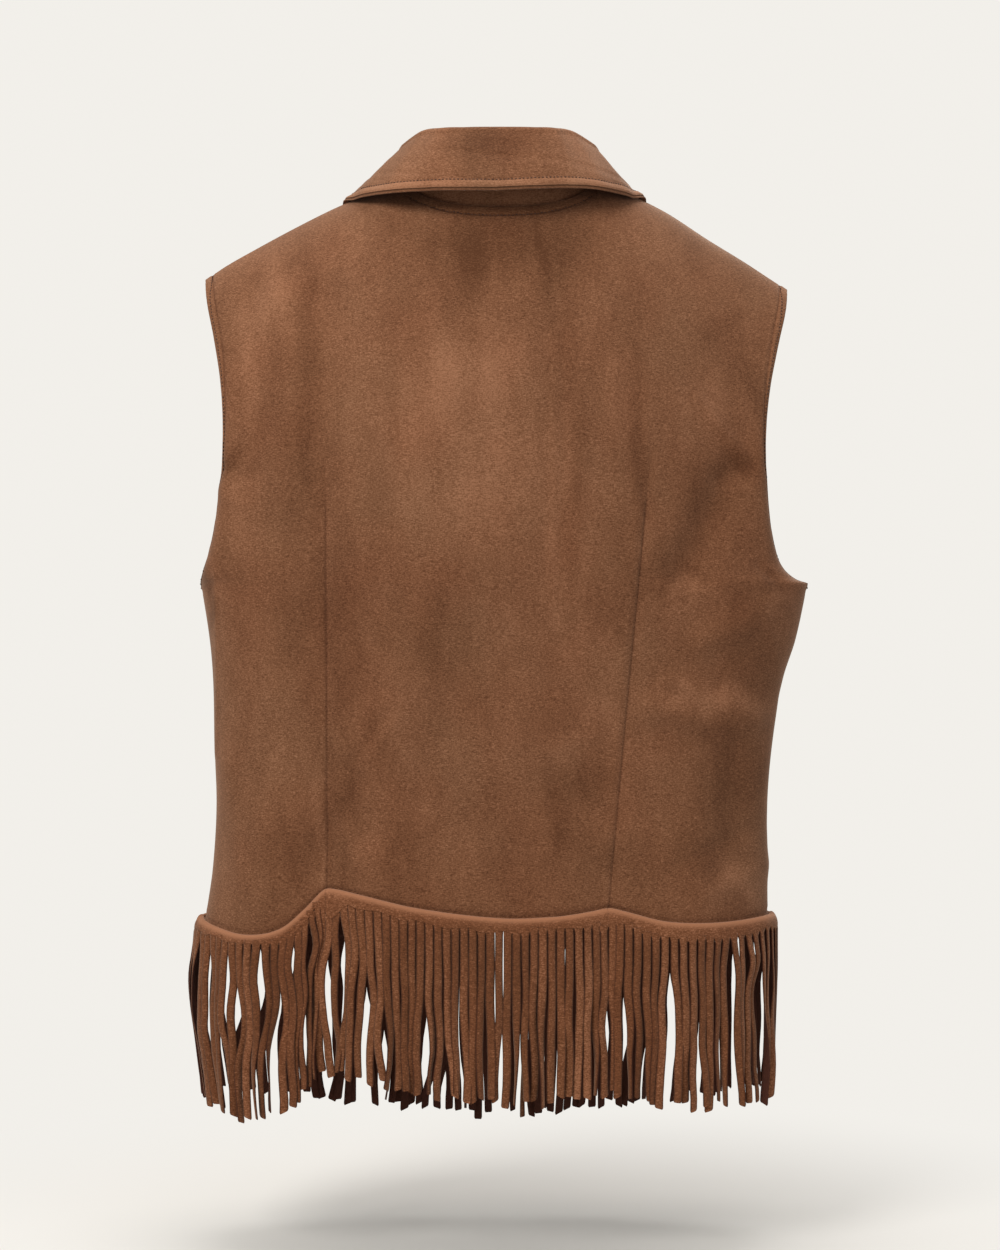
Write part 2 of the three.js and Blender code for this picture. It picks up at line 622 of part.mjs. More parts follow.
// A closed solid from rings of points, one ring for each station.
function ringGeometry(rings) {
  const sides = rings[0].length;
  const positions = rings.flat().flatMap((p) => [p.x, p.y, p.z]);
  const index = [];
  for (let r = 0; r < rings.length - 1; r += 1) {
    for (let s = 0; s < sides; s += 1) {
      const a = r * sides + s;
      const b = r * sides + ((s + 1) % sides);
      index.push(a, b, b + sides, a, b + sides, a + sides);
    }
  }
  const flat = THREE.ShapeUtils.triangulateShape(capOutline(rings[0]), []);
  const last = (rings.length - 1) * sides;
  for (const [a, b, c] of flat) {
    index.push(a, c, b);
    index.push(last + a, last + b, last + c);
  }
  const geometry = new THREE.BufferGeometry();
  geometry.setAttribute("position", new THREE.Float32BufferAttribute(positions, 3));
  geometry.setIndex(index);
  return geometry;
}

// A ring's outline in its own plane, for triangulating the caps.
function capOutline(ring) {
  const first = ring[1].clone().sub(ring[0]).normalize();
  const normal = new THREE.Vector3();
  for (let i = 0; i < ring.length; i += 1) normal.add(ring[i].clone().cross(ring[(i + 1) % ring.length]));
  const second = normal.normalize().cross(first);
  return ring.map((p) => {
    const arm = p.clone().sub(ring[0]);
    return new THREE.Vector2(arm.dot(first), arm.dot(second));
  });
}

// How far a strand is pushed sideways by the partings, at a share of its length.
const PARTING_REACH = 20;
function partingPush(half, x, share) {
  let push = 0;
  for (const p of PARTINGS) {
    const opening = smooth((share - p.from) / 0.35) * smooth((p.to - share) / 0.3 + 0.2);
    const away = (x - (half === BACK ? p.back : p.front)) / PARTING_REACH;
    push += 0.5 * p.width * opening * Math.sign(away) * Math.exp(-Math.abs(away));
  }
  return push;
}

// One strand: a flat ribbon that hangs from inside the band.
const STRAND_SHARES = [0, 0.4, 1];
const STRAND_REACH = 9;
function strandGeometry(line, along, half, number) {
  const place = placeOn(line, along);
  const level = { out: STRIP.flare + STRIP.cloth / 2, down: STRIP.height - STRAND.rootDepth };
  const root = stripPoint(place, level);
  const own = headingOn(line, along, STRAND.width / 2);
  const wider = headingOn(line, along, STRAND_REACH);
  const length = STRAND.length + STRAND.rootDepth - STRAND.uneven * chance(number, 1);
  const swing = mix(-STRAND.swing.into, STRAND.swing.out, chance(number, 2));
  const rings = STRAND_SHARES.map((share) => {
    const tangent = share === 0 ? own.tangent : wider.tangent;
    const outward = share === 0 ? own.outward : wider.outward;
    const centre = root.clone()
      .addScaledVector(wider.tangent, partingPush(half, root.x, share) * Math.abs(wider.outward.y))
      .addScaledVector(wider.outward, swing * share * share + STRAND.bulge * Math.sin(3.6 * share));
    centre.z -= length * share;
    const corner = (w, t) => centre.clone()
      .addScaledVector(tangent, (w * STRAND.width) / 2)
      .addScaledVector(outward, (t * STRAND.cloth) / 2);
    return [corner(-1, -1), corner(1, -1), corner(1, 1), corner(-1, 1)];
  });
  return ringGeometry(rings);
}

// A closed geometry as a solid that can be joined, whichever way its faces were wound.
function solidOf(geometry) {
  const bare = new THREE.BufferGeometry();
  bare.setAttribute("position", geometry.getAttribute("position"));
  bare.setIndex(geometry.index);
  const merged = mergeVertices(bare, 1e-4);
  const build = (triVerts) => new wasm.Manifold(new wasm.Mesh({
    numProp: 3,
    vertProperties: merged.attributes.position.array,
    triVerts,
  }));
  const triVerts = new Uint32Array(merged.index.array);
  const solid = build(triVerts);
  if (solid.volume() > 0) return solid;
  for (let i = 0; i < triVerts.length; i += 3) {
    [triVerts[i + 1], triVerts[i + 2]] = [triVerts[i + 2], triVerts[i + 1]];
  }
  return build(triVerts);
}

function geometryOf(solid) {
  const mesh = solid.getMesh();
  const geometry = new THREE.BufferGeometry();
  geometry.setAttribute("position", new THREE.BufferAttribute(new Float32Array(mesh.vertProperties), 3));
  geometry.setIndex(new THREE.BufferAttribute(new Uint32Array(mesh.triVerts), 1));
  return geometry;
}

// One length of fringe between two places on a seam line: its band with every strand joined to it.
function fringeGeometry({ line, half, from, to }, firstNumber) {
  const start = from + SEAM_GAP / 2;
  const end = to - SEAM_GAP / 2;
  const inside = line.filter((place) => place.along > start + 1 && place.along < end - 1);
  const stations = [placeOn(line, start), ...inside, placeOn(line, end)];
  const rings = stations.map((place) => STRIP_SECTION.map((corner) => stripPoint(place, corner)));
  let solid = solidOf(ringGeometry(rings));
  const first = start + STRAND.endMargin;
  const count = Math.floor((end - STRAND.endMargin - first) / STRAND.pitch);
  const pitch = (end - STRAND.endMargin - first) / count;
  for (let i = 0; i < count; i += 1) {
    solid = solid.add(solidOf(strandGeometry(line, first + pitch * (i + 0.5), half, firstNumber + i)));
  }
  return { geometry: geometryOf(solid), count };
}

const vest = new THREE.Group();
const SUEDE = { color: 0x7f5539, roughness: 0.92, metalness: 0 };
const FRINGE = { color: 0x76492d, roughness: 0.92, metalness: 0 };

function addPiece(name, geometry, finish) {
  geometry.computeVertexNormals();
  const mesh = new THREE.Mesh(geometry, new THREE.MeshStandardMaterial(finish));
  mesh.name = name;
  vest.add(mesh);
}

const back = panel(BACK, backColumns);
const frontLeft = panel(FRONT, frontLeftColumns);
const frontRight = panel(FRONT, frontRightColumns);
addPiece("back", geometryOf(solidOf(back.geometry)), SUEDE);
addPiece("front_left", geometryOf(solidOf(frontLeft.geometry)), SUEDE);
addPiece("front_right", geometryOf(solidOf(frontRight.geometry)), SUEDE);
addPiece("collar", geometryOf(solidOf(collarGeometry())), SUEDE);

// The lengths of fringe: three on the back, which meet at its darts, and one on each front.
const backLine = seamLine(back);
const leftLine = seamLine(turned(frontLeft));
const rightLine = seamLine(turned(frontRight));
const endOf = (line) => line[line.length - 1].along;
const leftDart = backLine[SIDE_STEPS + 1].along;
const rightDart = backLine[backLine.length - SIDE_STEPS - 2].along;
const FRINGES = [
  { name: "fringe_back_left", half: BACK, line: backLine, from: 0, to: leftDart },
  { name: "fringe_back_center", half: BACK, line: backLine, from: leftDart, to: rightDart },
  { name: "fringe_back_right", half: BACK, line: backLine, from: rightDart, to: endOf(backLine) },
  { name: "fringe_front_left", half: FRONT, line: leftLine, from: 0, to: endOf(leftLine) },
  { name: "fringe_front_right", half: FRONT, line: rightLine, from: 0, to: endOf(rightLine) },
];
let strandCount = 0;
for (const fringe of FRINGES) {
  const made = fringeGeometry(fringe, strandCount);
  addPiece(fringe.name, made.geometry, FRINGE);
  strandCount += made.count;
}

export default vest;
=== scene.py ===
"""A sleeveless western fringe vest in brown faux suede, hollow, hanging as it does when it is worn.

The tables are in millimetres, and a mesh is made in metres. +Z is up, the back faces -Y and the fronts
face +Y, and left is the wearer's left, at -X. Each panel is a thin shell on the form of its solid.
"""

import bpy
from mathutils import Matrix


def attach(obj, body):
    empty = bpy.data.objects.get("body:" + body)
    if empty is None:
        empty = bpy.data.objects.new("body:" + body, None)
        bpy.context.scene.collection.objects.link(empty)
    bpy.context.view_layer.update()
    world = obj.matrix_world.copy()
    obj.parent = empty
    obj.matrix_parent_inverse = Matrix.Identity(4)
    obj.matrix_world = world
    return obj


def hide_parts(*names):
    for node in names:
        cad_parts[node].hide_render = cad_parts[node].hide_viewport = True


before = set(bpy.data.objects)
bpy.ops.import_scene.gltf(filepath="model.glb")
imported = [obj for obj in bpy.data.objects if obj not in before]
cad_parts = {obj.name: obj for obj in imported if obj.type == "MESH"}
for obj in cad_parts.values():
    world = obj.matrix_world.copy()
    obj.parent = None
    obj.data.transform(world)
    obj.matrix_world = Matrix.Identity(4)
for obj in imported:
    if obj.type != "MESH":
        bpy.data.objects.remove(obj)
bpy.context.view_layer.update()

import math

import bpy
import numpy as np
from mathutils import Vector
from mathutils.kdtree import KDTree

MM = 0.001


def table(columns, *rows):
    """A table's columns by name."""
    return dict(zip(columns.split(), np.array(rows, dtype=float).T))


# Driving dimensions, as in the solids
CLOTH = 2.0
SEAM_GAP = 0.3
UNDERARM_Z = -302
SQUARENESS = 2.5
NECK_HALF_WIDTH = 72
NECK_SQUARENESS = 2.6
SHOULDER_X = {"left": 220.5, "right": 215}
FRONT_OPENING = {"neck": 5, "hem": 14}
STRIP = {"overlap": 6, "flare": 5.4, "cloth": 1.8}
# uneven is how much shorter a strand can be, margin is left at the ends, and strands bulge out as they hang
STRAND = {"pitch": 6.25, "width": 6.15, "cloth": 1.2, "length": 130, "uneven": 7, "margin": 0.8, "bulge": 3}

SECTIONS = table(
    "z left right back front",
    (-572, 222.5, 201, 72, 80),
    (-556, 221.5, 200.5, 71, 79),
    (-539, 218.5, 200, 70, 78),
    (-509, 214.5, 200, 67, 76),
    (-464, 212, 200, 64, 74),
    (-419, 213.5, 204, 64, 74),
    (-374, 214.5, 211.5, 67, 77),
    (-344, 217, 221, 70, 80),
    (UNDERARM_Z, 223.5, 230, 74, 84),
)
ARMHOLES = table(
    "rise left right",
    (0, 223.5, 230),
    (0.012, 222.7, 221),
    (0.046, 220, 211),
    (0.1, 215.5, 204.5),
    (0.2, 209.8, 199.3),
    (0.35, 205, 196),
    (0.5, 203.5, 195.3),
    (0.65, 205.5, 198.5),
    (0.8, 211.2, 205.3),
    (0.92, 217.5, 212),
    (1, SHOULDER_X["left"], SHOULDER_X["right"]),
)
SHOULDER_LINE = table(
    "x left right",
    (0, 12, 12),
    (36, 9, 9),
    (72, 0, 0),
    (98, -10, -11),
    (125, -21.5, -24.5),
    (155, -36.5, -44),
    (182, -51, -60.5),
    (205, -64, -75.5),
    (221, -75, -86),
)
BACK_HEM = table(
    "x z",
    (-226, -550),
    (-208, -556),
    (-184, -560),
    (-160, -555),
    (-143, -541),
    (-130, -528),
    (-124, -526),
    (-105, -529),
    (-60, -539),
    (0, -546),
    (40, -545),
    (66, -541.5),
    (79, -539.5),
    (92, -542),
    (120, -549),
    (160, -551),
    (206, -548),
)
FRONT_HEM = table(
    "x z",
    (-226, -550),
    (-180, -560),
    (-110, -571),
    (-40, -580),
    (0, -584),
    (40, -580),
    (110, -570),
    (165, -559),
    (206, -548),
)
SIDE_HEM_Z = BACK_HEM["z"][0] - STRIP["overlap"]

# The two back darts, which run from the shoulder blades to the hem
DART_X = {"left": {"hem": -126.5, "tip": -127}, "right": {"hem": 79, "tip": 107}}
DART = {"hem_z": -540, "hem_share": 0.3, "tip_z": -233, "fade": 40, "depth": 1.2, "half_width": 5}
DART_STEP = 0.45  # the cloth lies this much prouder on a dart's left, and lower on its right

# Soft folds of the form: ends, width, and how far they stand out
FOLD_COLUMNS = "x0 z0 x1 z1 width out"
BACK_FOLDS = table(
    FOLD_COLUMNS,
    (-128, -95, -127, -500, 13, -3.2),
    (-163, -60, -160, -240, 17, 3.4),
    (-205, -190, -180, -222, 9, -3),
    (-76, -150, -80, -260, 9, -1.4),
    (42, -90, 36, -300, 12, -2),
    (178, -205, 140, -290, 17, -7),
    (205, -322, 150, -345, 12, 4),
    (112, -394, 184, -408, 12, 4.6),
    (178, -436, 172, -500, 22, -5.5),
    (34, -452, 76, -470, 15, -3),
    (-112, -440, -96, -485, 14, -2.6),
    (-20, -340, -62, -455, 22, -2.2),
    (-182, -490, -186, -572, 30, 9),
    (-126, -500, -126, -572, 22, -7),
    (79, -515, 79, -572, 16, -4),
    (140, -520, 140, -572, 30, 4),
)
FRONT_FOLDS = table(
    FOLD_COLUMNS,
    (-120, -120, -128, -420, 16, -3.5),
    (118, -110, 122, -400, 16, -3.5),
    (-70, -330, -62, -590, 20, 4),
    (66, -350, 74, -590, 20, 4),
    (-150, -430, -142, -590, 24, -5),
    (138, -440, 144, -590, 24, -5),
    (-185, -230, -145, -300, 16, -5),
    (178, -225, 142, -292, 16, -5),
    (-24, -300, -30, -480, 16, -2.5),
    (26, -280, 32, -470, 16, -2.5),
)

# Finer creases of the cloth, in the same columns
BACK_CREASES = table(
    FOLD_COLUMNS,
    (-164, -92, -190, -150, 11, 1.6),
    (-140, -90, -138, -232, 7, -1.2),
    (-214, -214, -184, -224, 4.5, -1.5),
    (-210, -232, -186, -246, 7, 1.2),
    (-209.5, -292, -211.5, -430, 1.6, 0.7),
    (-96, -150, -98, -290, 16, 0.8),
    (41, -120, 38, -320, 3, 0.8),
    (48, -110, 46, -310, 6, -0.9),
    (82, -150, 86, -250, 7, 1),
    (101, -155, 103, -240, 3, -0.7),
    (144, -168, 178, -209, 5, 1.5),
    (182, -216, 160, -226, 8, -2.2),
    (158, -244, 126, -292, 12, -1.2),
    (104, -297, 156, -300, 4, -0.8),
    (112, -307, 150, -310, 4, 0.6),
    (190, -290, 205, -303, 4, -1.2),
    (196, -312, 214, -317, 3, 0.8),
    (193, -316, 207, -370, 1.8, 0.7),
    (122, -374, 190, -402, 7, 2.2),
    (160, -378, 200, -384, 8, -1.2),
    (116, -372, 176, -418, 5, -1),
    (130, -508, 190, -482, 7, -1),
    (150, -528, 196, -512, 9, 1.4),
    (-82, -398, -112, -440, 4, -1),
    (-72, -398, -100, -436, 5, 0.8),
    (-104, -448, -122, -478, 8, -1.3),
    (-64, -480, -80, -512, 6, -0.9),
    (40, -440, 36, -486, 4, -0.9),
    (60, -436, 84, -452, 7, -1),
    (36, -424, 66, -414, 6, 0.9),
    (30, -500, 26, -536, 6, 0.7),
    (-170, -470, -150, -530, 9, -0.9),
    (-200, -440, -190, -520, 8, 0.9),
)
FRONT_CREASES = table(
    FOLD_COLUMNS,
    (-170, -250, -222, -300, 6, -1.2),
    (-150, -272, -214, -312, 7, 1.1),
    (160, -252, 222, -302, 6, -1.2),
    (146, -276, 208, -316, 7, 1.1),
    (-60, -110, -96, -190, 8, -0.9),
    (54, -112, 92, -186, 8, -0.9),
    (-30, -420, -84, -490, 8, 0.9),
    (34, -390, 78, -468, 8, -0.9),
    (-190, -430, -168, -520, 8, -0.9),
    (180, -420, 164, -510, 8, 0.9),
    (-16, -170, -22, -260, 7, 0.6),
    (14, -200, 20, -300, 7, -0.6),
)

# Where the cloth is painted lighter or darker: brushed nap, and painted shade and light, such as the shade
# under the collar, over the lower back, below the right armhole and at the left side. Centre, half sizes and
# amount
NAP_COLUMNS = "x z half_x half_z amount"
BACK_NAP_AND_PAINTED_LIGHT = table(
    NAP_COLUMNS,
    # The first row is painted shade under the collar, the second painted shade over the lower back.
    (0, -48, 58, 32, -1.1),
    (50, -515, 180, 60, -0.4),
    (6, -90, 48, 46, -0.45),
    (46, -92, 16, 60, -0.25),
    (-166, -88, 15, 34, 0.6),
    (-186, -140, 12, 40, 0.6),
    (-182, -78, 10, 10, -0.5),
    (-196, -212, 12, 8, -0.9),
    (-190, -258, 18, 34, 0.4),
    (-142, -150, 10, 96, -0.55),
    (-134, -290, 7, 110, -0.35),
    (-18, -194, 66, 88, 0.85),
    (-28, -150, 40, 30, 0.35),
    (-100, -170, 20, 120, 0.25),
    (52, -220, 8, 110, -0.45),
    (43, -300, 5, 90, 0.35),
    (-47, -340, 12, 34, -0.4),
    (98, -190, 6, 60, -0.6),
    (160, -120, 16, 12, -0.5),
    (156, -170, 10, 26, 0.5),
    (184, -160, 9, 20, -0.45),
    (168, -219, 17, 11, -1.1),
    (150, -250, 24, 26, -0.9),
    (134, -285, 26, 16, -0.6),
    (130, -300, 34, 6, -0.5),
    (202, -300, 9, 9, -0.7),
    (183, -352, 16, 40, -0.9),
    (160, -391, 40, 10, 0.7),
    (174, -446, 26, 46, -1),
    (146, -500, 26, 18, -0.6),
    (176, -526, 22, 15, 1),
    (73, -391, 15, 15, 0.35),
    (51, -418, 16, 11, 0.5),
    (68, -446, 21, 15, -0.5),
    (40, -466, 9, 22, -0.5),
    (-113, -350, 15, 50, -0.55),
    (-116, -420, 12, 50, -0.5),
    (-112, -462, 14, 18, -0.6),
    (-118, -510, 14, 22, -0.7),
    (-74, -500, 17, 22, -0.5),
    (-88, -412, 9, 26, -0.5),
    (-50, -420, 14, 40, -0.3),
    (-28, -500, 26, 26, 0.4),
    (-131, -480, 4, 70, 0.5),
    (-158, -500, 18, 42, -0.5),
    (-150, -300, 9, 60, -0.3),
    (-205, -424, 8, 120, 0.35),
    (-216, -335, 5, 44, -0.6),
    (-216, -292, 7, 12, -0.9),
)
FRONT_NAP = table(
    NAP_COLUMNS,
    (-110, -160, 50, 80, 0.4),
    (112, -150, 46, 90, 0.35),
    (-60, -330, 30, 90, -0.4),
    (90, -380, 40, 80, -0.35),
    (-160, -420, 30, 60, 0.3),
    (40, -480, 30, 50, 0.35),
    (-30, -230, 18, 60, -0.3),
    (150, -440, 20, 30, -0.5),
    (-90, -500, 18, 20, -0.5),
)

# The collar's fold and outer edge, from the neck seam, at stations from the nape (0) round the side (5)
# to the centre front (10)
COLLAR_GUIDES = table(
    "station fold_side fold_depth fold_rise edge_side edge_depth edge_rise",
    (0, 0, -8, 55.5, 0, -27, 9.5),
    (1, 1, -8, 54.2, 6, -26, 8.4),
    (2, 1.4, -7, 50.8, 13, -24, 4.6),
    (3, -0.5, -4, 44.6, 21, -20, -1.1),
    (4, 1, -1.5, 30, 32, -9, -7.6),
    (5, 1, 0, 17.5, 41.5, 0, -15.5),
    (6, 1, 0, 19, 39.5, 8, -25),
    (7, 0.5, 0.8, 17, 39, 10, -31),
    (8, 0.4, 1, 15.5, 42, 12, -38),
    (9, 0, 1, 14.5, 44, 13, -38),
    (10, 0, 1, 14, 50, 15, -42),
)
COLLAR = {"cloth": 2.4, "fold_radius": 3.4, "seat_depth": 2.5, "sewn_in": 1.2, "ease": 0.8, "clearance": 2.9}
COLLAR_FOLD_OUT = {"left": 1.5, "right": 0}  # how much wider the fold is at its sides
COLLAR_REACH = {"left": 1.04, "right": 0.82}  # how far the edge reaches, as a share of the guides' edge_side
COLLAR_TUCK = {"left": 3.6, "right": 7.2}  # how much narrower the fold is at its upper corners
COLLAR_LIFT = {"left": 0.8, "right": 3}  # how much higher the edge lies behind
COLLAR_BOW = {"left": 3.5, "right": 2}  # how far the fall bows out between its fold and its edge
COLLAR_STITCH_IN = 5.4  # from the collar's edge
LAST_STATION = 10
NECK_SHARES = np.array([1, 0.95, 0.82, 0.62, 0.36, 0])  # of the neck's half width, from its side inwards

# Where strands part and let the light through: where in the back's and in the front's row, how wide, and
# from which to which share of a strand's length. NOWHERE leaves that row closed.
NOWHERE = 999
PARTINGS = table(
    "back front width start end",
    (-216, -222, 10, 0, 0.6),
    (-208, -215, 9, 0.05, 0.7),
    (-201, NOWHERE, 5, 0.45, 1.1),
    (-196, -207, 7, 0.02, 0.65),
    (-187, -199, 8, 0.2, 0.65),
    (-173, -186, 6.5, 0.02, 0.6),
    (-162, -174, 6, 0.3, 1.1),
    (-148, -159, 6, 0, 0.3),
    (-142, -151, 6, 0.4, 0.9),
    (-140, NOWHERE, 8, 0, 0.35),
    (-119, -128, 8, 0.1, 1),
    (-113, -121, 7, 0, 0.8),
    (-97, -104, 7, 0.3, 1.15),
    (-87, -93, 5, 0.5, 1),
    (-54, -58, 7, 0.4, 0.9),
    (-40, -43, 6, 0.65, 1.2),
    (3, 34, 3, 0.5, 1),
    (77, 84, 5, 0.35, 0.75),
    (88, 95, 4, 0.3, 0.75),
    (122, 131, 6, 0.2, 1.1),
    (141, 152, 6, 0.6, 1.2),
    (166, 178, 8, 0, 1.15),
    (178, 190, 6, 0, 0.3),
    (184, 197, 8, 0.15, 0.95),
    (194, 206, 7, 0.15, 0.6),
)
PARTING_REACH = 16  # a strand this far away moves by a third of what the nearest one does
PARTING_AT_SIDE = 0.6  # the least share of a parting that strands on the sides take
SIDE_LEAN = 5  # how far the strands' ends lean in at the sides
TURNED_LEFT_OF = -211  # where the back's strands turn and show their dark reverse
FRONT_PARTING = 1.5  # the far strands part wider, so that the light shows through both rows

# Sewing
EDGE_RADIUS = 0.85  # of a turned edge
SEAM_RADIUS = 0.3  # of the cloth where it goes into a seam
SEAM_LAP = 0.12  # how far the cloth goes past a seam's middle
TOPSTITCH_IN = 6.6  # from a turned edge
NECK_TOPSTITCH_IN = 7.8
GROOVE = {"depth": 0.75, "half_width": 0.8}  # along topstitching
EDGE_PLY = {"raised": 0.45, "reach": 5.6, "fade": 1.8}  # the thicker cloth of a turned edge
NECK_PLY = {"raised": 0.3, "reach": 6.5, "fade": 2, "half_x": 62}  # and below the neck seam
SEAM_RIDGE = {"raised": 0.35, "away": 3, "half_width": 2.2}  # the allowance pressed beside a seam
DART_SEAM = {"depth": 0.5, "half_width": 0.65}
HEM_LINE = {"up": 2.1, "half_width": 1.2, "depth": 0.55}  # the crease above the fringe's rolled top
STITCH = {"pitch": 2.8, "length": 1.9, "radius": 0.4, "dip": 0.3, "lift": 0.1, "shoulder": 0.55}

BACK = {
    "facing": -1,
    "depth": "back",
    "hem": BACK_HEM,
    "folds": BACK_FOLDS,
    "creases": BACK_CREASES,
    "nap_and_painted_light": BACK_NAP_AND_PAINTED_LIGHT,
    "neck": {"depth": 46, "drop": 26, "bend": 1.6},
    "start_pull": 16,
    "neck_pull": 250,
}
FRONT = {
    "facing": 1,
    "depth": "front",
    "hem": FRONT_HEM,
    "folds": FRONT_FOLDS,
    "creases": FRONT_CREASES,
    "nap_and_painted_light": FRONT_NAP,
    "neck": {"depth": 62, "drop": 85, "bend": 2.15},
    "start_pull": 22,
    "neck_pull": 190,
}
SHOULDER_PULL = {"y": 150, "z": 25}  # of the curves over the shoulder, where they end
ARMHOLE_PULL = {"y": 150, "z": 55}


def mix(a, b, share):
    return a + (b - a) * share


def smooth(value):
    t = np.clip(value, 0, 1)
    return t * t * (3 - 2 * t)


def bell(value):
    return np.exp(-value * value)


def chance(index, purpose):
    """The same number from 0 to 1 each time for one index and purpose."""
    value = np.sin(index * 12.9898 + purpose * 78.233) * 43758.5453
    return value - np.floor(value)


def wave(at, length, purpose):
    """A smooth uneven wave from -1 to 1 along a line, about one swing in each length."""
    cell = np.floor(at / length)
    t = smooth(at / length - cell)
    return 2 * mix(chance(cell, purpose), chance(cell + 1, purpose), t) - 1


def hermite(start, start_pull, end, end_pull, t):
    t2 = t * t
    t3 = t2 * t
    return (
        (2 * t3 - 3 * t2 + 1) * start
        + (t3 - 2 * t2 + t) * start_pull
        + (3 * t2 - 2 * t3) * end
        + (t3 - t2) * end_pull
    )


def follow(rows, key, column, at):
    """A smooth curve through a table's rows, which rise in the key column."""
    keys, values = rows[key], rows[column]
    last = len(keys) - 1
    before = np.maximum(np.arange(last + 1) - 1, 0)
    after = np.minimum(np.arange(last + 1) + 1, last)
    slopes = (values[after] - values[before]) / (keys[after] - keys[before])
    place = np.clip(at, keys[0], keys[last])
    i = np.clip(np.searchsorted(keys, place) - 1, 0, last - 1)
    step = keys[i + 1] - keys[i]
    return hermite(values[i], slopes[i] * step, values[i + 1], slopes[i + 1] * step, (place - keys[i]) / step)


def follow_side(rows, key, x, at):
    """The left or the right column, by the sign of x."""
    return np.where(x < 0, follow(rows, key, "left", at), follow(rows, key, "right", at))


def unit(vectors):
    return vectors / np.maximum(np.linalg.norm(vectors, axis=-1, keepdims=True), 1e-9)


def lengths_along(points):
    """Distance along a line of points from its first one."""
    return np.r_[0, np.cumsum(np.linalg.norm(np.diff(points, axis=0), axis=1))]


def resampled(points, at):
    """Places on a line of points, at distances along it."""
    along = lengths_along(points)
    return np.stack([np.interp(at, along, points[:, axis]) for axis in range(points.shape[1])], axis=1)


# The shell's form

def roundness(q):
    """A section's depth at a share q of its half width, as a share of its full depth."""
    return (1 - np.minimum(q, 1) ** SQUARENESS) ** (1 / SQUARENESS)


def ridges(rows, x, z):
    """The sum of soft ridges and troughs at a point."""
    out = np.zeros(np.broadcast(x, z).shape)
    for x0, z0, x1, z1, width, height in zip(*rows.values()):
        dx, dz = x1 - x0, z1 - z0
        share = np.clip(((x - x0) * dx + (z - z0) * dz) / (dx * dx + dz * dz), 0, 1)
        out = out + height * bell(np.hypot(x - x0 - dx * share, z - z0 - dz * share) / width)
    return out


def dart_x(side, z):
    rise = (z - DART["hem_z"]) / (DART["tip_z"] - DART["hem_z"])
    return mix(DART_X[side]["hem"], DART_X[side]["tip"], rise)


def dart_strength(z):
    """How deep a dart's trough is at a height, from 0 above its tip to 1, and less at the hem."""
    above = smooth((DART["tip_z"] + DART["fade"] - z) / DART["fade"])
    return above * mix(DART["hem_share"], 1, smooth((z - DART["hem_z"]) / DART["fade"]))


def relief(half, x, z):
    """How far the folds and darts stand out from the plain form."""
    out = ridges(half["folds"], x, z)
    if half is BACK:
        for side in ("left", "right"):
            away = np.abs(x - dart_x(side, z)) / DART["half_width"]
            out = out - DART["depth"] * np.maximum(1 - away, 0) * dart_strength(z)
    return out


def seam_z(half, x):
    return follow(half["hem"], "x", "z", x) - STRIP["overlap"]


def lower_points(half, x, lower):
    """Points of the shell between the fringe's seam (lower 0) and the underarm's height (lower 1)."""
    edge = follow_side(SECTIONS, "z", x, mix(SIDE_HEM_Z, UNDERARM_Z, lower))
    q = np.minimum(np.abs(x) / edge, 1)
    z = mix(seam_z(half, x), UNDERARM_Z, lower)
    depth = follow(SECTIONS, "z", half["depth"], z) * roundness(q)
    y = half["facing"] * (depth + relief(half, x, z) * (1 - q**6))
    return np.stack([x, y, z], axis=-1)


def armhole_x(x, upper):
    """Distance of the armhole's edge from the centre, on the side where x is."""
    shoulder = np.where(x < 0, SHOULDER_X["left"], SHOULDER_X["right"])
    tip_z = follow_side(SHOULDER_LINE, "x", x, shoulder)
    z = hermite(UNDERARM_Z, ARMHOLE_PULL["z"], tip_z, SHOULDER_PULL["z"], upper)
    return follow_side(ARMHOLES, "rise", x, (z - UNDERARM_Z) / (tip_z - UNDERARM_Z))


def upper_place(half, x, upper):
    """Depth and point of the whole shoulder surface, which the neckline hasn't cut yet."""
    shoulder = np.where(x < 0, SHOULDER_X["left"], SHOULDER_X["right"])
    q = np.minimum(np.abs(x) / armhole_x(x, upper), 1)
    start = follow(SECTIONS, "z", half["depth"], UNDERARM_Z) * roundness(q)
    top_x = q * shoulder
    top_z = follow_side(SHOULDER_LINE, "x", x, top_x)
    edge = q**8
    outer = smooth((top_x - NECK_HALF_WIDTH) / (shoulder - NECK_HALF_WIDTH))
    pull_y = mix(half["start_pull"], ARMHOLE_PULL["y"], edge)
    pull_z = mix(0.9 * (top_z - UNDERARM_Z), ARMHOLE_PULL["z"], edge)
    depth = hermite(start, pull_y, 0, -mix(half["neck_pull"], SHOULDER_PULL["y"], outer), upper)
    z = hermite(UNDERARM_Z, pull_z, top_z, SHOULDER_PULL["z"], upper)
    raised = relief(half, x, z) * (1 - q**6) * smooth((1 - upper) / 0.25)
    return depth, np.stack([x + 0 * z, half["facing"] * (depth + raised), z], axis=-1)


def upper_points(half, x, upper):
    """Points of the shell between the underarm's height (upper 0) and its top edge (upper 1)."""
    across = np.minimum(np.abs(x) / NECK_HALF_WIDTH, 1)
    lean = (1 - across**NECK_SQUARENESS) ** (1 / NECK_SQUARENESS)
    low, high = np.full(x.shape, 0.4), np.ones(x.shape)
    for _ in range(20):
        middle = (low + high) / 2
        inside = upper_place(half, x, middle)[0] > half["neck"]["depth"] * lean
        low = np.where(inside, middle, low)
        high = np.where(inside, high, middle)
    low = np.where(across >= 1, 1, low)
    cut_z = upper_place(half, x, low)[1][..., 2]
    points = upper_place(half, x, upper * mix(1, low, upper))[1]
    drop = (-half["neck"]["drop"] * lean ** half["neck"]["bend"] - cut_z) * upper**5
    points[..., 2] += np.where(across >= 1, 0, drop)
    return points


